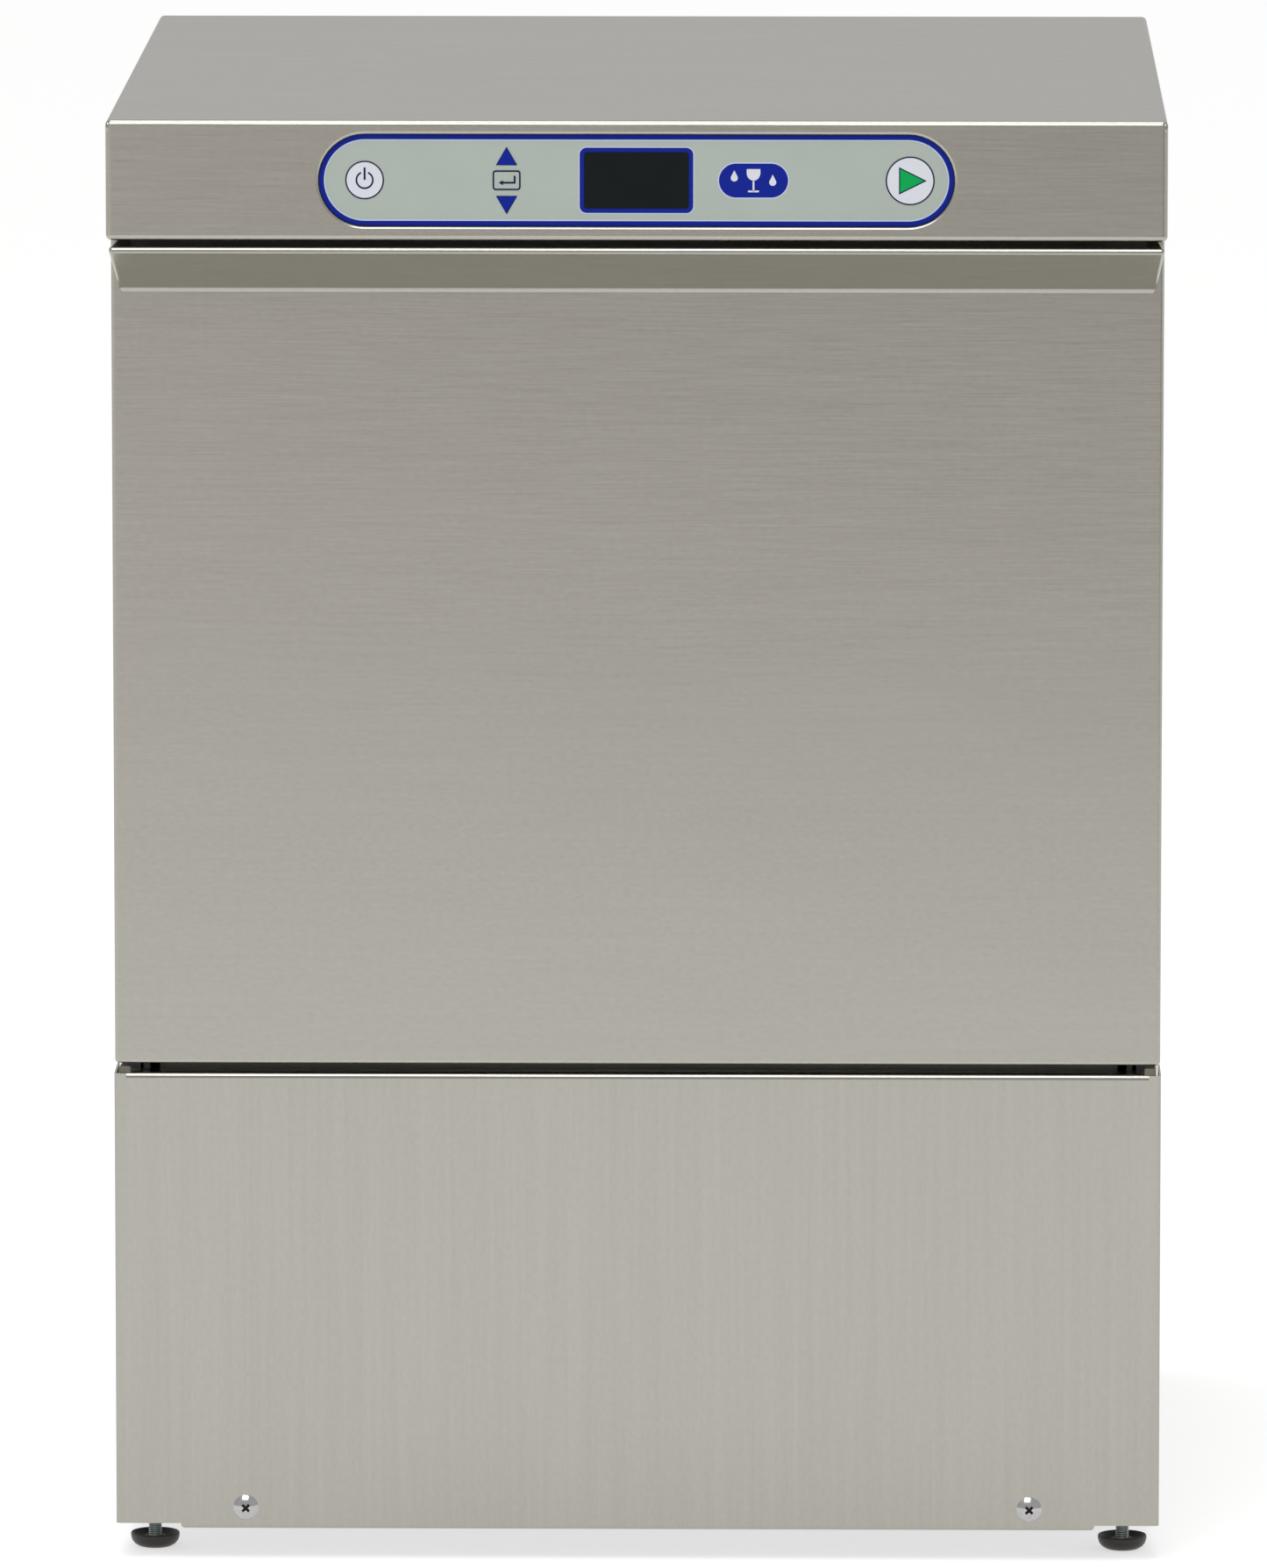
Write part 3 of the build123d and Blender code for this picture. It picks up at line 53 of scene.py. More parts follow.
# ---------------------------------------------------------------- materials
class Finish:
    """A procedural material with short names for the nodes it is built from."""

    def __init__(self, name, colour, roughness=0.5, metallic=0.0, specular=0.5, coat=0.0):
        self.material = bpy.data.materials.new(name)
        self.material.use_nodes = True
        self.tree = self.material.node_tree
        self.shader = self.tree.nodes["Principled BSDF"]
        self.colour = (*colour, 1.0)
        self.set("Base Color", self.colour)
        self.set("Roughness", roughness)
        self.set("Metallic", metallic)
        self.set("Specular IOR Level", specular)
        self.set("Coat Weight", coat)
        self.place = self.tree.nodes.new("ShaderNodeTexCoord").outputs["Object"]

    def set(self, socket, value):
        self.shader.inputs[socket].default_value = value

    def link(self, source, target):
        self.tree.links.new(source, target)

    def noise(self, scale, detail=2.0, roughness=0.5):
        """Noise in 0 to 1; scale is features per metre along each axis."""
        mapping = self.tree.nodes.new("ShaderNodeMapping")
        mapping.inputs["Scale"].default_value = scale
        self.link(self.place, mapping.inputs["Vector"])
        noise = self.tree.nodes.new("ShaderNodeTexNoise")
        noise.inputs["Scale"].default_value = 1.0
        noise.inputs["Detail"].default_value = detail
        noise.inputs["Roughness"].default_value = roughness
        self.link(mapping.outputs["Vector"], noise.inputs["Vector"])
        return noise.outputs["Fac"]

    def spread(self, fac, low, high, start=0.25, stop=0.75):
        """Maps fac from start..stop to low..high."""
        node = self.tree.nodes.new("ShaderNodeMapRange")
        node.inputs["From Min"].default_value = start
        node.inputs["From Max"].default_value = stop
        node.inputs["To Min"].default_value = low
        node.inputs["To Max"].default_value = high
        self.link(fac, node.inputs["Value"])
        return node.outputs["Result"]

    def math(self, operation, a, b):
        node = self.tree.nodes.new("ShaderNodeMath")
        node.operation = operation
        for socket, value in zip(node.inputs, (a, b)):
            if isinstance(value, (int, float)):
                socket.default_value = value
            else:
                self.link(value, socket)
        return node.outputs["Value"]

    def mix_colour(self, fac, first, second):
        """first where fac is 0, second where it is 1; each a colour or a socket."""
        node = self.tree.nodes.new("ShaderNodeMix")
        node.data_type = "RGBA"
        self.link(fac, node.inputs["Factor"])
        for name, value in (("A", first), ("B", second)):
            socket = [s for s in node.inputs if s.name == name and s.type == "RGBA"][0]
            if isinstance(value, tuple):
                socket.default_value = value
            else:
                self.link(value, socket)
        return [s for s in node.outputs if s.type == "RGBA"][0]

    def tint(self, fac, amount):
        """Varies the colour's brightness by plus or minus amount with fac."""
        dark = tuple(c * (1 - amount) for c in self.colour[:3]) + (1.0,)
        light = tuple(min(1.0, c * (1 + amount)) for c in self.colour[:3]) + (1.0,)
        mixed = self.mix_colour(self.spread(fac, 0.0, 1.0), dark, light)
        self.link(mixed, self.shader.inputs["Base Color"])

    def roughen(self, fac, low, high):
        """Varies the roughness from low to high with fac."""
        self.link(self.spread(fac, low, high), self.shader.inputs["Roughness"])

    def relief(self, height, depth, previous=None):
        """Bump of the given depth in metres."""
        node = self.tree.nodes.new("ShaderNodeBump")
        node.inputs["Strength"].default_value = 1.0
        node.inputs["Distance"].default_value = depth
        self.link(height, node.inputs["Height"])
        if previous:
            self.link(previous, node.inputs["Normal"])
        self.link(node.outputs["Normal"], self.shader.inputs["Normal"])
        return node.outputs["Normal"]


# Features per metre across and along the grain: hairlines, streaks, mottle and cloud.
STEEL_PATTERN = ((1700.0, 22.0), (260.0, 5.0), (420.0, 240.0), (14.0, 4.0))


def brushed_steel(name, grain, colour, roughness=0.2, weights=(0.25, 0.12, 0.4, 0.12)):
    """Satin stainless sheet; grain is the axis that the scratches run along,
    and weights say how much each part of STEEL_PATTERN shows."""
    finish = Finish(name, colour, roughness, metallic=1.0)
    finish.set("Anisotropic", 0.7)
    tangent = finish.tree.nodes.new("ShaderNodeTangent")
    tangent.direction_type = "RADIAL"
    tangent.axis = grain
    finish.link(tangent.outputs["Tangent"], finish.shader.inputs["Tangent"])
    pattern = []
    for across, along in STEEL_PATTERN:
        scale = [along if axis == grain else across for axis in "XYZ"]
        pattern.append(finish.noise(scale, detail=2.5, roughness=0.6))
    shade = 0.5 * (1.0 - sum(weights))
    for noise, weight in zip(pattern, weights):
        shade = finish.math("ADD", shade, finish.math("MULTIPLY", noise, weight))
    finish.tint(shade, 0.11)
    hairline = pattern[0]
    finish.roughen(hairline, roughness - 0.03, roughness + 0.04)
    dents = finish.noise((5.0, 5.0, 9.0), detail=1.5)
    normal = finish.relief(dents, 0.00012)
    finish.relief(hairline, 0.0000015, normal)
    return finish.material


def plain_metal(name, colour, roughness, spot=160.0, depth=0.00002):
    """Plated, cast or galvanised metal with a spangle."""
    finish = Finish(name, colour, roughness, metallic=1.0)
    spangle = finish.noise((spot,) * 3, detail=4.0, roughness=0.6)
    finish.tint(spangle, 0.12)
    finish.roughen(spangle, roughness - 0.06, roughness + 0.08)
    finish.relief(spangle, depth)
    return finish.material


def moulded(
    name, colour, roughness=0.5, depth=0.00001, grain=1800.0, variation=0.06, coat=0.0, specular=0.5
):
    """Moulded plastic or rubber with a fine texture."""
    finish = Finish(name, colour, roughness, specular=specular, coat=coat)
    soft = finish.noise((35.0,) * 3, detail=3.0)
    finish.tint(soft, variation)
    finish.roughen(soft, roughness - 0.05, roughness + 0.05)
    finish.relief(finish.noise((grain,) * 3, detail=2.0), depth)
    return finish.material


def printed_film(name, colour, roughness=0.42, variation=0.02, specular=0.1):
    """Fine-textured polyester film, as on a membrane keypad."""
    return moulded(name, colour, roughness, 0.000006, 2600.0, variation, specular=specular)


def coiled_wire(name, colour, pitch):
    """Bright wire wound close along Z, one turn to each pitch."""
    finish = Finish(name, colour, 0.2, metallic=1.0)
    finish.tint(finish.noise((300.0,) * 3), 0.1)
    turns = finish.tree.nodes.new("ShaderNodeTexWave")
    turns.bands_direction = "Z"
    turns.inputs["Scale"].default_value = math.tau / 20.0 / pitch
    finish.link(finish.place, turns.inputs["Vector"])
    finish.relief(turns.outputs["Fac"], 0.3 * MM)
    return finish.material


STEEL_X = brushed_steel("steel_grain_x", "X", (0.385, 0.373, 0.334))
STEEL_Z = brushed_steel(
    "steel_grain_z", "Z", (0.362, 0.351, 0.317), weights=(0.2, 0.24, 0.3, 0.12)
)
STEEL_INNER = brushed_steel("steel_inner", "X", (0.50, 0.49, 0.47), roughness=0.3)
GALVANISED = plain_metal("galvanised", (0.40, 0.41, 0.41), 0.42)
BRIGHT = plain_metal("bright_steel", (0.62, 0.61, 0.60), 0.14, spot=400.0, depth=0.000004)
CHROME = plain_metal("chrome", (0.45, 0.44, 0.45), 0.15, spot=500.0, depth=0.000003)
ZINC = plain_metal("zinc_thread", (0.36, 0.40, 0.39), 0.38, spot=900.0, depth=0.00001)
WIRE = coiled_wire("spring_wire", (0.55, 0.55, 0.54), 1.3 * MM)
# Near-black brown in the cross recess of the screws: painted shade for the hollow in shadow, not
# the plating's own colour.
SCREW_RECESS_SHADE = moulded("screw_recess_painted_shade", (0.02, 0.012, 0.006), 0.7)
HINGE = moulded("hinge_block", (0.11, 0.10, 0.075), 0.5, variation=0.12)
CAST = plain_metal("cast_aluminium", (0.42, 0.43, 0.44), 0.5, spot=700.0, depth=0.00004)
RUBBER = moulded("black_rubber", (0.018, 0.018, 0.018), 0.62, depth=0.00002)
BLACK = moulded("black_plastic", (0.022, 0.022, 0.023), 0.45)
FOOT = moulded("foot_plastic", (0.016, 0.012, 0.008), 0.4)
GREY = moulded("grey_plastic", (0.16, 0.17, 0.18), 0.45)
WHITE = moulded("white_plastic", (0.62, 0.62, 0.57), 0.42)
TUBE = moulded("silicone_tube", (0.55, 0.52, 0.40), 0.3, coat=0.3)
BOARD = moulded("circuit_board", (0.02, 0.12, 0.05), 0.35, variation=0.25)
FILM = printed_film("panel_film", (0.325, 0.368, 0.332), specular=0.3)
BLUE = printed_film("blue_ink", (0.002, 0.012, 0.22))
PALE_BLUE = printed_film("pale_blue_ink", (0.43, 0.48, 0.60))
KEY_WHITE = printed_film("key_white", (0.55, 0.56, 0.61))
INK = printed_film("dark_blue_ink", (0.004, 0.007, 0.05))
GREEN = printed_film("green_ink", (0.0, 0.30, 0.065))
SMOKED = moulded("smoked_window", (0.004, 0.006, 0.007), 0.3, depth=0.0, specular=0.12)

NODE_MATERIALS = (
    (STEEL_X, "lid door_outer_panel"),
    (STEEL_Z, "kick_panel side_panel_left side_panel_right"),
    (GALVANISED, "rear_panel base_frame hinge_levers hinge_brackets dosing_bracket"),
    (
        STEEL_INNER,
        "front_frame wash_tank rack_rails door_inner_panel lower_rinse_arm upper_rinse_arm "
        "strainer_plate booster_tank rinse_pipe",
    ),
    (BRIGHT, "casing_screws door_screws hinge_pins tank_heater wash_pump_rotor"),
    (WIRE, "door_springs"),
    (CAST, "wash_pump_motor"),
    (RUBBER, "door_gasket suction_hose drain_hose"),
    (
        BLACK,
        "wash_pump_casing drain_pump_impeller dosing_housings control_box "
        "control_box_cover keypad_backplate",
    ),
    (GREY, "lower_wash_arm upper_wash_arm lower_spindle upper_spindle strainer_basket wash_pipes"),
    (WHITE, "hinge_bushes fill_valve drain_pump dosing_rotor_left dosing_rotor_right"),
    (TUBE, "dosing_tubes"),
    (BOARD, "control_board display_module"),
    (FILM, "keypad_overlay enter_key"),
    (BLUE, "up_key down_key"),
    (KEY_WHITE, "power_key start_key"),
    (SMOKED, "display_window"),
    (FOOT, "foot_front_left foot_front_right foot_rear_left foot_rear_right"),
)
for material, names in NODE_MATERIALS:
    for node in names.split():
        slots = NODES[node].data.materials
        slots.clear()
        slots.append(material)


# ---------------------------------------------------------------- mesh helpers
PRINT = 0.06 * MM  # thickness of a printed layer


def add_object(name, mesh, body):
    """Puts a mesh in the scene as a piece that rides on a body."""
    piece = bpy.data.objects.new(name, mesh)
    bpy.context.scene.collection.objects.link(piece)
    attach(piece, body)
    return piece


def print_shape(name, loops, surface_y, body, material):
    """A printed layer on the front of a surface; loops are closed outlines in X and Z,
    and later ones cut holes."""
    curve = bpy.data.curves.new(name, "CURVE")
    curve.dimensions = "2D"
    curve.fill_mode = "BOTH"
    curve.extrude = PRINT / 2
    for loop in loops:
        spline = curve.splines.new("POLY")
        spline.points.add(len(loop) - 1)
        for point, (x, z) in zip(spline.points, loop):
            point.co = (x, z, 0.0, 1.0)
        spline.use_cyclic_u = True
    holder = bpy.data.objects.new(name + "_outline", curve)
    mesh = bpy.data.meshes.new_from_object(holder)
    bpy.data.objects.remove(holder)
    mesh.name = name
    upright = Matrix.Rotation(math.pi / 2, 4, "X")
    mesh.transform(Matrix.Translation((0, surface_y - PRINT / 2, 0)) @ upright)
    mesh.materials.clear()
    mesh.materials.append(material)
    add_object(name, mesh, body)


def ring_points(x, z, radius, start=0.0, stop=360.0, steps=96):
    """Points on an arc from start to stop, in degrees; a full ring leaves out the last one."""
    count, span = steps, stop - start
    if span >= 360.0:
        count, span = steps - 1, 360.0 * (steps - 1) / steps
    points = []
    for i in range(count + 1):
        angle = math.radians(start + span * i / count)
        points.append((x + radius * math.cos(angle), z + radius * math.sin(angle)))
    return points


def rounded_box(x, z, width, height, radius, steps=8):
    """Outline of a rectangle round a centre, with rounded corners."""
    points = []
    for turn, (sx, sz) in enumerate(((1, 1), (-1, 1), (-1, -1), (1, -1))):
        cx = x + sx * (width / 2 - radius)
        cz = z + sz * (height / 2 - radius)
        points += ring_points(cx, cz, radius, turn * 90, turn * 90 + 90, steps)
    return points


def stadium(x, z, width, height, steps):
    """Outline of a bar with half-round ends."""
    return rounded_box(x, z, width, height, height / 2, steps)


# ---------------------------------------------------------------- control panel print
overlay_low, overlay_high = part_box("keypad_overlay")
PANEL_X = (overlay_low.x + overlay_high.x) / 2
PANEL_Z = (overlay_low.z + overlay_high.z) / 2
BORDER, BORDER_LINE = 2.7 * MM, 0.7 * MM  # blue edge of the panel, and the pale line in it
KEY_LINE = 0.6 * MM


def front_of(node):
    """Centre x and z, front y, width and height of a node."""
    low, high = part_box(node)
    return (low.x + high.x) / 2, (low.z + high.z) / 2, low.y, high.x - low.x, high.z - low.z


def panel_border():
    _, _, surface, width, height = front_of("keypad_overlay")

    def outline(inset):
        return stadium(PANEL_X, PANEL_Z, width - 2 * inset, height - 2 * inset, 40)

    rim, line = outline(BORDER), outline(BORDER + BORDER_LINE)
    print_shape("panel_border", [outline(0), rim], surface, "cabinet", BLUE)
    print_shape("panel_border_line", [rim, line], surface, "cabinet", PALE_BLUE)


def display_border():
    x, z, surface, width, height = front_of("display_window")

    def outline(margin, radius):
        return rounded_box(x, z, width + margin * MM, height + margin * MM, radius * MM)

    border = [outline(0.0, 3.9), outline(-4.6, 2.0)]
    print_shape("display_border", border, surface, "cabinet", BLUE)
    halo = [outline(1.4, 4.5), outline(0.4, 4.1)]
    print_shape("display_halo", halo, overlay_low.y, "cabinet", PALE_BLUE)


def key_ring(node):
    """The fine ring round a round key."""
    x, z, surface, width, _ = front_of(node)
    edge = width / 2
    ring = [ring_points(x, z, edge), ring_points(x, z, edge - KEY_LINE)]
    print_shape(node + "_ring", ring, surface, node, INK)


def power_symbol():
    """A broken ring with a bar in its gap."""
    x, z, surface, _, _ = front_of("power_key")
    key_ring("power_key")
    gap, radius, line = 25.0, 4.7 * MM, 1.0 * MM
    ends = 90 + gap, 450 - gap
    outside = ring_points(x, z, radius + line / 2, *ends, 64)
    inside = ring_points(x, z, radius - line / 2, *ends, 64)
    print_shape("power_symbol_arc", [outside + inside[::-1]], surface, "power_key", INK)
    bar = rounded_box(x, z + 3.7 * MM, 1.15 * MM, 7.2 * MM, 0.2 * MM, 3)
    print_shape("power_symbol_bar", [bar], surface, "power_key", INK)


def enter_symbol():
    """A frame with a bent arrow in it."""
    x, z, surface, width, height = front_of("enter_key")
    outer = rounded_box(x, z, width, height, 1.6 * MM)
    inner = rounded_box(x, z, width - 1.4 * MM, height - 1.4 * MM, 1.0 * MM)
    print_shape("enter_key_frame", [outer, inner], surface, "enter_key", INK)
    left, right, low, high = x - 4.6 * MM, x + 4.6 * MM, z - 1.4 * MM, z + 2.6 * MM
    neck, barb, line = left + 2.6 * MM, 1.5 * MM, 0.55 * MM
    arrow = [
        (left, low),
        (neck, low + barb),
        (neck, low + line),
        (right - line, low + line),
        (right - line, high),
        (right + line, high),
        (right + line, low - line),
        (neck, low - line),
        (neck, low - barb),
    ]
    print_shape("enter_symbol", [arrow], surface, "enter_key", INK)


def start_symbol():
    """A triangle that points right, with a dark edge."""
    x, z, surface, _, _ = front_of("start_key")
    key_ring("start_key")

    def arrow(inset):
        """The triangle with its sides moved in."""
        left = x - 6.4 * MM + inset
        tip = x + 9.5 * MM - 2.26 * inset
        half = 7.9 * MM - 1.62 * inset
        return [(left, z - half), (tip, z), (left, z + half)]

    edge = 0.7 * MM
    print_shape("start_symbol_edge", [arrow(0), arrow(edge)], surface, "start_key", INK)
    print_shape("start_symbol", [arrow(edge)], surface, "start_key", GREEN)


def glass_badge():
    """A plain oval badge with a stemmed glass and two drops."""
    x, z = PANEL_X + 67 * MM, PANEL_Z
    under, over = overlay_low.y, overlay_low.y - PRINT
    width, height, line = 41 * MM, 21 * MM, 0.7 * MM
    rim = stadium(x, z, width, height, 20)
    oval = stadium(x, z, width - 2 * line, height - 2 * line, 20)
    print_shape("badge_rim", [rim, oval], under, "cabinet", PALE_BLUE)
    print_shape("badge", [oval], under, "cabinet", BLUE)

    brim, foot, half = z + 6.6 * MM, z - 6.6 * MM, 3.9 * MM
    shoulder, depth = brim - 2.2 * MM, 4.4 * MM
    bowl = [(x - half, brim)]
    for turn in range(180, 361, 12):
        angle = math.radians(turn)
        bowl.append((x + half * math.cos(angle), shoulder + depth * math.sin(angle)))
    bowl.append((x + half, brim))
    stem = rounded_box(x, z - 3.2 * MM, 1.0 * MM, 6.0 * MM, 0.1 * MM, 2)
    base = rounded_box(x, foot + 0.4 * MM, 6.4 * MM, 1.0 * MM, 0.45 * MM, 4)
    for label, loop in (("bowl", bowl), ("stem", stem), ("foot", base)):
        print_shape("badge_glass_" + label, [loop], over, "cabinet", KEY_WHITE)

    radius = 2.0 * MM
    for label, side, lift in (("left", -1, 1.5), ("right", 1, -1.0)):
        drop_x, drop_z = x + side * 11 * MM, z + lift * MM
        drop = ring_points(drop_x, drop_z, radius, 150, 390, 28)
        drop.append((drop_x, drop_z + 2.2 * radius))
        print_shape("badge_drop_" + label, [drop], over, "cabinet", KEY_WHITE)


panel_border()
display_border()
power_symbol()
enter_symbol()
start_symbol()
glass_badge()


# ---------------------------------------------------------------- screws, feet and trim
def solids(node):
    """(lowest corner, highest corner) of each separate solid of a CAD node."""
    mesh = NODES[node].data
    spots = [tuple(round(value, 5) for value in vertex.co) for vertex in mesh.vertices]
    leader = {spot: spot for spot in spots}

    def lead(spot):
        while leader[spot] != spot:
            leader[spot] = leader[leader[spot]]
            spot = leader[spot]
        return spot

    for edge in mesh.edges:
        first, second = (lead(spots[vertex]) for vertex in edge.vertices)
        leader[first] = second
    groups = {}
    for spot in leader:
        groups.setdefault(lead(spot), []).append(spot)
    corners = []
    for group in groups.values():
        axes = list(zip(*group))
        corners.append((Vector(min(axis) for axis in axes), Vector(max(axis) for axis in axes)))
    return sorted(corners)


def lathe(profile, steps):
    """Points and faces of a (radius, height) outline in mm turned about Z."""
    points, rings, faces = [], [], []
    for radius, height in profile:
        count = steps if radius else 1
        rings.append([len(points) + i for i in range(count)])
        for i in range(count):
            angle = math.tau * i / steps
            x, y = radius * math.cos(angle), radius * math.sin(angle)
            points.append((x * MM, y * MM, height * MM))
    for low, high in zip(rings, rings[1:]):
        for i in range(steps):
            j = i + 1
            corners = [low[i % len(low)], low[j % len(low)]]
            corners += [high[j % len(high)], high[i % len(high)]]
            face = list(dict.fromkeys(corners))
            if len(face) > 2:
                faces.append(face)
    return points, faces


def threaded_rod(crest, root, pitch, low, high, steps=20, slices=5):
    """Points and faces of a rod in mm with a V thread about Z."""
    rows = round((high - low) / pitch * slices)
    points, faces = [], []
    for row in range(rows + 1):
        height = low + (high - low) * row / rows
        for i in range(steps):
            phase = (height / pitch - i / steps) % 1.0
            radius = (crest - (crest - root) * abs(2 * phase - 1)) * MM
            angle = math.tau * i / steps
            points.append((radius * math.cos(angle), radius * math.sin(angle), height * MM))
    for row in range(rows):
        low_ring, high_ring = row * steps, (row + 1) * steps
        for i in range(steps):
            j = (i + 1) % steps
            faces.append((low_ring + i, low_ring + j, high_ring + j, high_ring + i))
    faces.append(tuple(range(steps))[::-1])
    faces.append(tuple(rows * steps + i for i in range(steps)))
    return points, faces


def build(name, parts, body, crease=35.0):
    """One object from (points, faces, matrix, material) parts."""
    points, faces, slots, order = [], [], [], []
    for part_points, part_faces, matrix, material in parts:
        start = len(points)
        points += [matrix @ Vector(point) for point in part_points]
        faces += [tuple(start + i for i in face) for face in part_faces]
        if material not in order:
            order.append(material)
        slots += [order.index(material)] * len(part_faces)
    mesh = bpy.data.meshes.new(name)
    mesh.from_pydata(points, [], faces)
    for material in order:
        mesh.materials.append(material)
    for polygon, slot in zip(mesh.polygons, slots):
        polygon.material_index = slot
        polygon.use_smooth = True
    mesh.set_sharp_from_angle(angle=math.radians(crease))
    return add_object(name, mesh, body)


def cross_cutter(reach, depth):
    """Two tapered bars, crossed at 45 degrees, that sink from Z = 0."""
    points, faces = [], []
    for turn in (45.0, 135.0):
        ahead = Vector((math.cos(math.radians(turn)), math.sin(math.radians(turn)), 0.0))
        aside = Vector((-ahead.y, ahead.x, 0.0))
        start = len(points)
        mouth, floor = (reach, 0.24 * reach, 0.5), (0.3 * reach, 0.14 * reach, -depth)
        for length, width, height in (mouth, floor):
            for along, across in ((-1, -1), (1, -1), (1, 1), (-1, 1)):
                at = ahead * along * length + aside * across * width
                points.append((at.x * MM, at.y * MM, height * MM))
        box = ((0, 1, 2, 3), (7, 6, 5, 4), (4, 5, 1, 0), (5, 6, 2, 1), (6, 7, 3, 2), (7, 4, 0, 3))
        faces += [tuple(start + i for i in face) for face in box]
    return points, faces


def screw_parts(radius, height, length, shank):
    """A domed cross-head screw with its head above Z = 0 and its shank below: the points,
    the faces outside and the faces in the recess."""
    dome = (radius**2 + height**2) / (2 * height)
    sweep = math.asin(radius / dome)
    profile = [(0.0, -length), (shank, -length), (shank, 0.0), (radius, 0.0)]
    for i in range(1, 16):
        angle = sweep * (1 - i / 16)
        profile.append((dome * math.sin(angle), height - dome + dome * math.cos(angle)))
    profile.append((0.0, height))
    cutter = cross_cutter(0.5 * radius, 0.75 * height)
    objects = []
    for (points, faces), lift in ((lathe(profile, 64), 0), (cutter, height)):
        mesh = bpy.data.meshes.new("screw_shape")
        mesh.from_pydata(points, [], faces)
        mesh.transform(Matrix.Translation((0, 0, lift * MM)))
        mesh.validate()
        item = bpy.data.objects.new("screw_shape", mesh)
        bpy.context.scene.collection.objects.link(item)
        objects.append(item)
    head, tool = objects
    cut = head.modifiers.new("recess", "BOOLEAN")
    cut.object = tool
    cut.operation = "DIFFERENCE"
    cut.solver = "EXACT"
    cut.use_self = True
    bpy.context.view_layer.update()
    result = head.evaluated_get(bpy.context.evaluated_depsgraph_get())
    shape = bpy.data.meshes.new_from_object(result)
    for item in objects:
        bpy.data.objects.remove(item)
    points = [vertex.co.copy() for vertex in shape.vertices]
    centre = Vector((0, 0, (height - dome) * MM))
    outer, inner = [], []
    for polygon in shape.polygons:
        middle = polygon.center
        sunk = middle.z > 0.05 * MM and (middle - centre).length < (dome - 0.04) * MM
        (inner if sunk else outer).append(tuple(polygon.vertices))
    return points, outer, inner


def casing_screws():
    """The large screws of the kick panel and the small ones at the back."""
    parts, made = [], {}
    for low, high in solids("casing_screws"):
        radius = round((high.x - low.x) / 2 / MM, 1)
        front = low.y < 0
        height, shank = (3.0, 2.4) if radius > 5 else (2.0, 2.0)
        length = (high.y - low.y) / MM - height
        if radius not in made:
            made[radius] = screw_parts(radius, height, length, shank)
        points, outer, inner = made[radius]
        face = low.y + height * MM if front else high.y - height * MM
        turn = Matrix.Rotation(math.pi / 2 if front else -math.pi / 2, 4, "X")
        place = Matrix.Translation(((low.x + high.x) / 2, face, (low.z + high.z) / 2)) @ turn
        parts.append((points, outer, place, CHROME))
        # The faces in the recess get the near-black colour, which is painted shade.
        parts.append((points, inner, place, SCREW_RECESS_SHADE))
    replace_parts(build("cross_head_screws", parts, "cabinet", 28.0), "casing_screws")


def levelling_feet():
    """A dished pad on an M8 stud at each corner."""
    pad = [(0, 0), (8.4, 0), (9.6, 0.3), (12.0, 1.7), (13.5, 3.6), (14.2, 5.8), (14.3, 7.3)]
    pad += [(14.15, 8.0), (13.75, 8.4), (13.2, 8.3), (12.8, 7.7), (12.1, 6.3), (11.0, 5.4)]
    pad += [(7.0, 5.2), (6.4, 6.2), (4.2, 6.5), (4.0, 6.0), (0, 6.0)]
    crest, root, pitch = 4.0, 3.45, 1.25
    for node in ("foot_front_left", "foot_front_right", "foot_rear_left", "foot_rear_right"):
        low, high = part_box(node)
        place = Matrix.Translation(((low.x + high.x) / 2, (low.y + high.y) / 2, low.z))
        stud = threaded_rod(crest, root, pitch, 3.0, (high.z - low.z) / MM)
        parts = [(*lathe(pad, 72), place, FOOT), (*stud, place, ZINC)]
        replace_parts(build(node + "_turned", parts, node, 50.0), node)


def weld_beads():
    """The ground-down welds at the lid's front top corners."""
    low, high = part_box("lid")
    radius, half_length = 1.5, 3.0
    profile = [(0, -half_length)]
    for i in range(1, 12):
        angle = math.pi * i / 12
        profile.append((radius * math.sin(angle), -half_length * math.cos(angle)))
    profile.append((0, half_length))
    inset = 1.55 * MM
    for label, x in (("left", low.x + inset), ("right", high.x - inset)):
        place = Matrix.Translation((x, low.y + 1.6 * MM, high.z - 4.2 * MM))
        build("weld_bead_" + label, [(*lathe(profile, 20), place, STEEL_Z)], "cabinet", 90.0)


def hinge_blocks():
    """The cast block at each hinge, seen past the ends of the gap under the door."""
    low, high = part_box("hinge_brackets")
    pin_low, pin_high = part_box("hinge_pins")
    pin = (pin_low.z + pin_high.z) / 2
    size = Vector((6.6, 9.0, 8.0)) * MM
    for side, label in ((-1, "left"), (1, "right")):
        middle = Vector((side * (high.x - size.x / 2), low.y + 2.0 * MM, pin - 19.0 * MM))
        points = [
            middle + Vector((size.x * i / 2, size.y * j / 2, size.z * k / 2))
            for i in (-1, 1)
            for j in (-1, 1)
            for k in (-1, 1)
        ]
        faces = [(0, 1, 3, 2), (4, 6, 7, 5), (0, 4, 5, 1), (2, 3, 7, 6), (0, 2, 6, 4), (1, 5, 7, 3)]
        block = build("hinge_block_" + label, [(points, faces, Matrix(), HINGE)], "cabinet")
        bevel = block.modifiers.new("rounded", "BEVEL")
        bevel.width = 1.0 * MM
        bevel.segments = 3
        bevel.limit_method = "ANGLE"
        bevel.angle_limit = math.radians(40)


def cable_grommet():
    """A rubber edging round the hole for the mains cable, clear of the opening itself."""
    mounts = {mount["name"]: mount for mount in frame["record"]["mounts"]}
    x, _, z = mounts["power_entry"]["pos_m"]
    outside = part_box("rear_panel")[1].y
    inner, outer, height = 14.6, 17.8, 1.5
    ring = [(inner, 0.0), (inner, 0.8), (inner + 0.6, height), (outer - 0.8, height)]
    ring += [(outer, 0.8), (outer, 0.0), (inner, 0.0)]
    place = Matrix.Translation((x, outside, z)) @ Matrix.Rotation(-math.pi / 2, 4, "X")
    build("cable_grommet", [(*lathe(ring, 64), place, RUBBER)], "cabinet", 50.0)


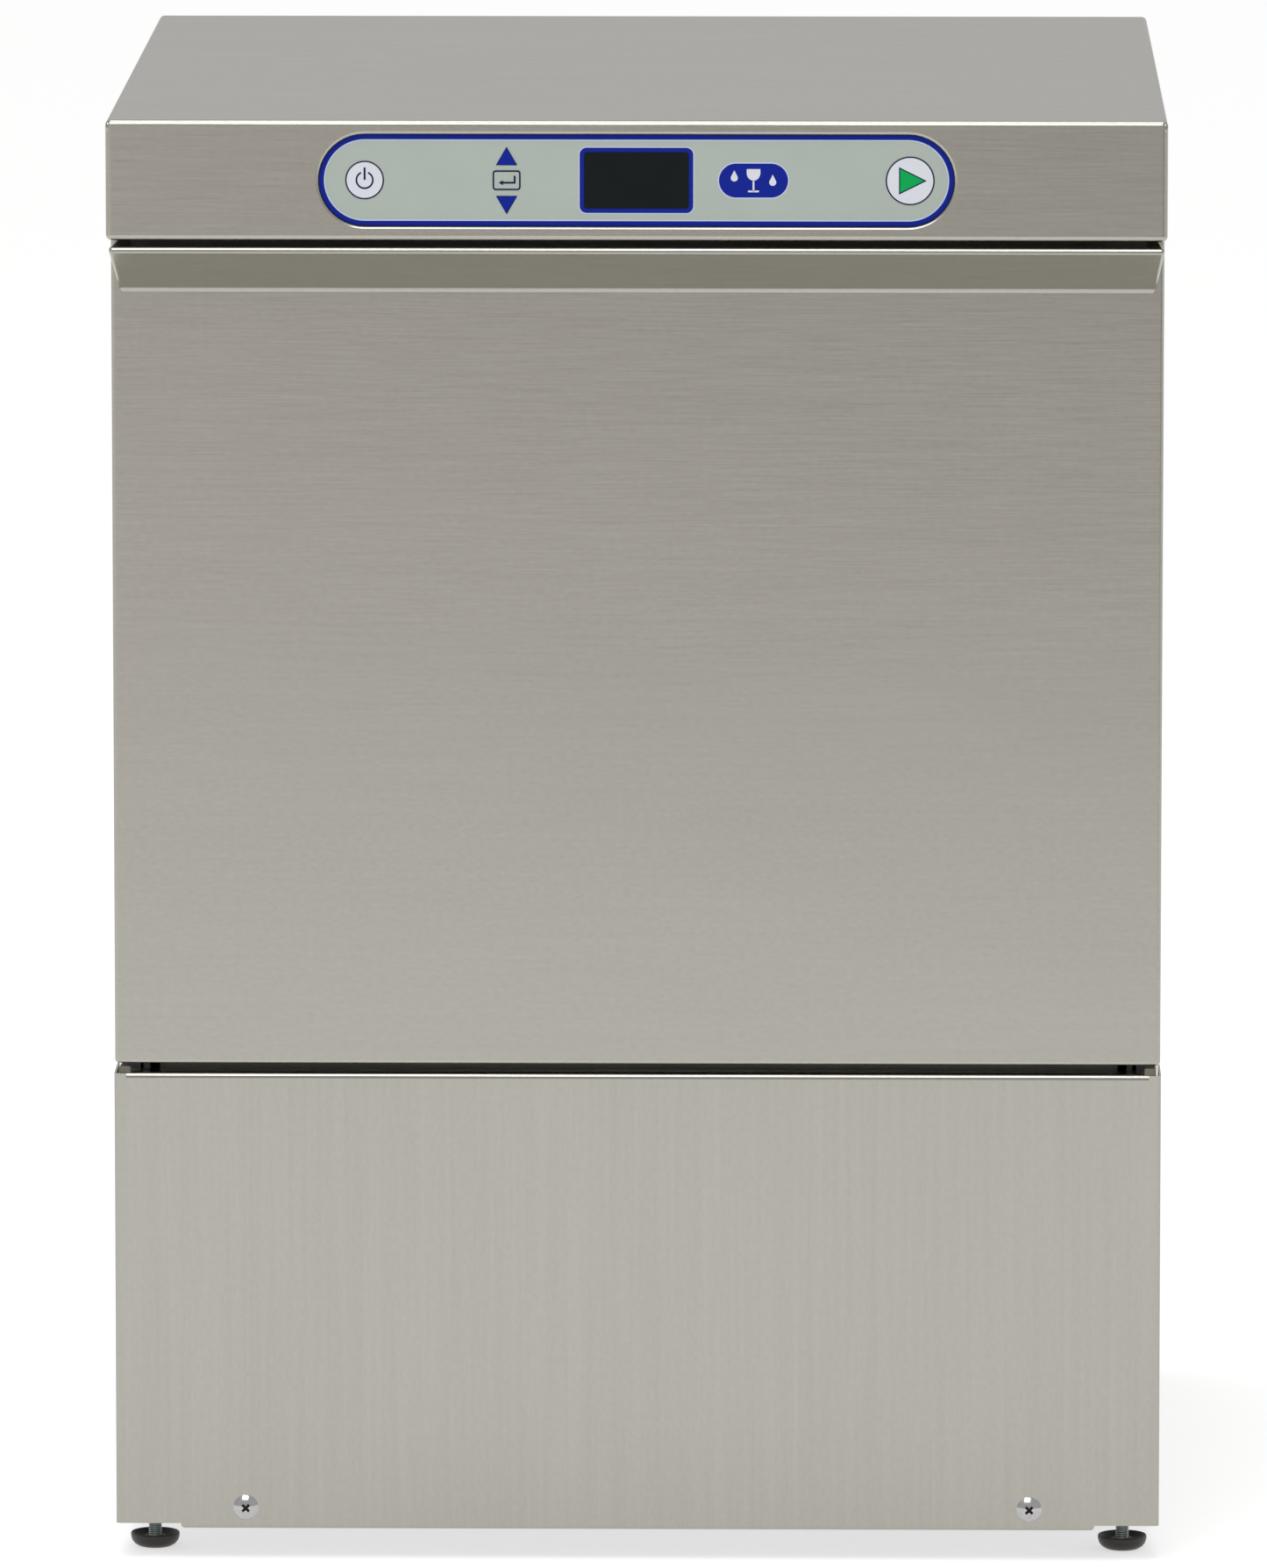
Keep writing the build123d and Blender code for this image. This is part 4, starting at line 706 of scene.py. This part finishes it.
casing_screws()
levelling_feet()
weld_beads()
hinge_blocks()
cable_grommet()


# ---------------------------------------------------------------- camera, floor and light
CAMERA_AT = Vector((0.1291, -8.7091, 1.6703))
CAMERA_YAW = math.radians(0.895)
CAMERA_PITCH = math.radians(8.208)
LENS = 337.47
SENSOR = 36.0
WHITE_LIGHT = (1.0, 1.0, 1.0, 1.0)
FLOOR_REACH = 20.0


def add_camera():
    data = bpy.data.cameras.new("camera")
    data.sensor_fit = "VERTICAL"
    data.sensor_height = SENSOR
    data.lens = LENS
    data.clip_end = 100.0
    camera = bpy.data.objects.new("camera", data)
    camera.location = CAMERA_AT
    camera.rotation_euler = (math.pi / 2 - CAMERA_PITCH, 0.0, CAMERA_YAW)
    bpy.context.scene.collection.objects.link(camera)
    bpy.context.scene.camera = camera


def add_light(name, at, target, size, power):
    """A rectangular area light that faces its target."""
    data = bpy.data.lights.new(name, "AREA")
    data.shape = "RECTANGLE"
    data.size, data.size_y = size
    data.energy = power
    light = bpy.data.objects.new(name, data)
    light.location = at
    light.rotation_euler = (Vector(target) - Vector(at)).to_track_quat("-Z", "Y").to_euler()
    bpy.context.scene.collection.objects.link(light)


def add_floor(name, low, high, z, material):
    """A rectangle of floor, which isn't part of the object."""
    (west, south), (east, north) = low, high
    corners = [(west, south, z), (east, south, z), (east, north, z), (west, north, z)]
    mesh = bpy.data.meshes.new(name)
    mesh.from_pydata(corners, [], [(0, 1, 2, 3)])
    mesh.materials.append(material)
    floor = bpy.data.objects.new(name, mesh)
    bpy.context.scene.collection.objects.link(floor)
    return floor


def add_painted_reflection_card():
    """A glowing card on the floor in front, seen only in the steel as a painted reflection: black,
    with a pale band that slants off near the machine, a pale far end and a darker middle."""
    card = Finish("painted_reflection_card", (0.0, 0.0, 0.0), 1.0, specular=0.0)
    across, away, up = card.tree.nodes.new("ShaderNodeSeparateXYZ").outputs
    card.link(card.place, across.node.inputs["Vector"])
    slant = card.math("SUBTRACT", away, across)
    near = card.spread(slant, 1.1, 0.02, -4.9, -6.1)
    beyond = card.spread(away, 0.02, 1.9, -7.5, -9.0)
    aside = card.math("ABSOLUTE", card.math("SUBTRACT", across, 0.2), 0.0)
    core = card.spread(aside, 0.36, 0.0, 0.0, 0.75)
    middle = card.math("MULTIPLY", core, card.spread(away, 0.0, 1.0, -4.3, -5.6))
    pale = card.math("MAXIMUM", near, beyond)
    shade = card.math("MULTIPLY", pale, card.math("SUBTRACT", 1.0, middle))
    tone = card.mix_colour(shade, (0.0, 0.0, 0.0, 1.0), (1.0, 0.95, 0.94, 1.0))
    # Painted reflection: the card's emitted tone lights nothing and shows only in the steel, and
    # its darker middle paints shade into that reflection.
    card.link(tone, card.shader.inputs["Emission Color"])
    card.set("Emission Strength", 1.0)
    sheet = add_floor("painted_reflection_card", (-6.0, -16.0), (6.0, -3.5), 0.002, card.material)
    sheet.visible_camera = False
    sheet.visible_diffuse = False
    sheet.visible_shadow = False


def add_world(colour, strength):
    world = bpy.data.worlds.new("studio")
    world.use_nodes = True
    background = world.node_tree.nodes["Background"]
    background.inputs["Color"].default_value = (*colour, 1.0)
    background.inputs["Strength"].default_value = strength
    bpy.context.scene.world = world


add_camera()
paper = Finish("paper", (0.55, 0.55, 0.55), 0.9)
paper.tint(paper.noise((40.0,) * 3), 0.01)
paper.set("Emission Color", WHITE_LIGHT)
paper.set("Emission Strength", 0.60)
add_floor("floor", (-FLOOR_REACH,) * 2, (FLOOR_REACH,) * 2, 0.0, paper.material)
add_painted_reflection_card()
add_world((1.0, 1.0, 0.99), 0.64)
add_light("key_light", (-0.6, -2.6, 3.8), (0.0, -0.2, 0.5), (2.6, 2.2), 85.0)
add_light("top_light", (0.0, 0.2, 4.4), (0.0, 0.2, 0.0), (2.4, 2.4), 40.0)
bpy.context.scene.view_settings.view_transform = "Standard"
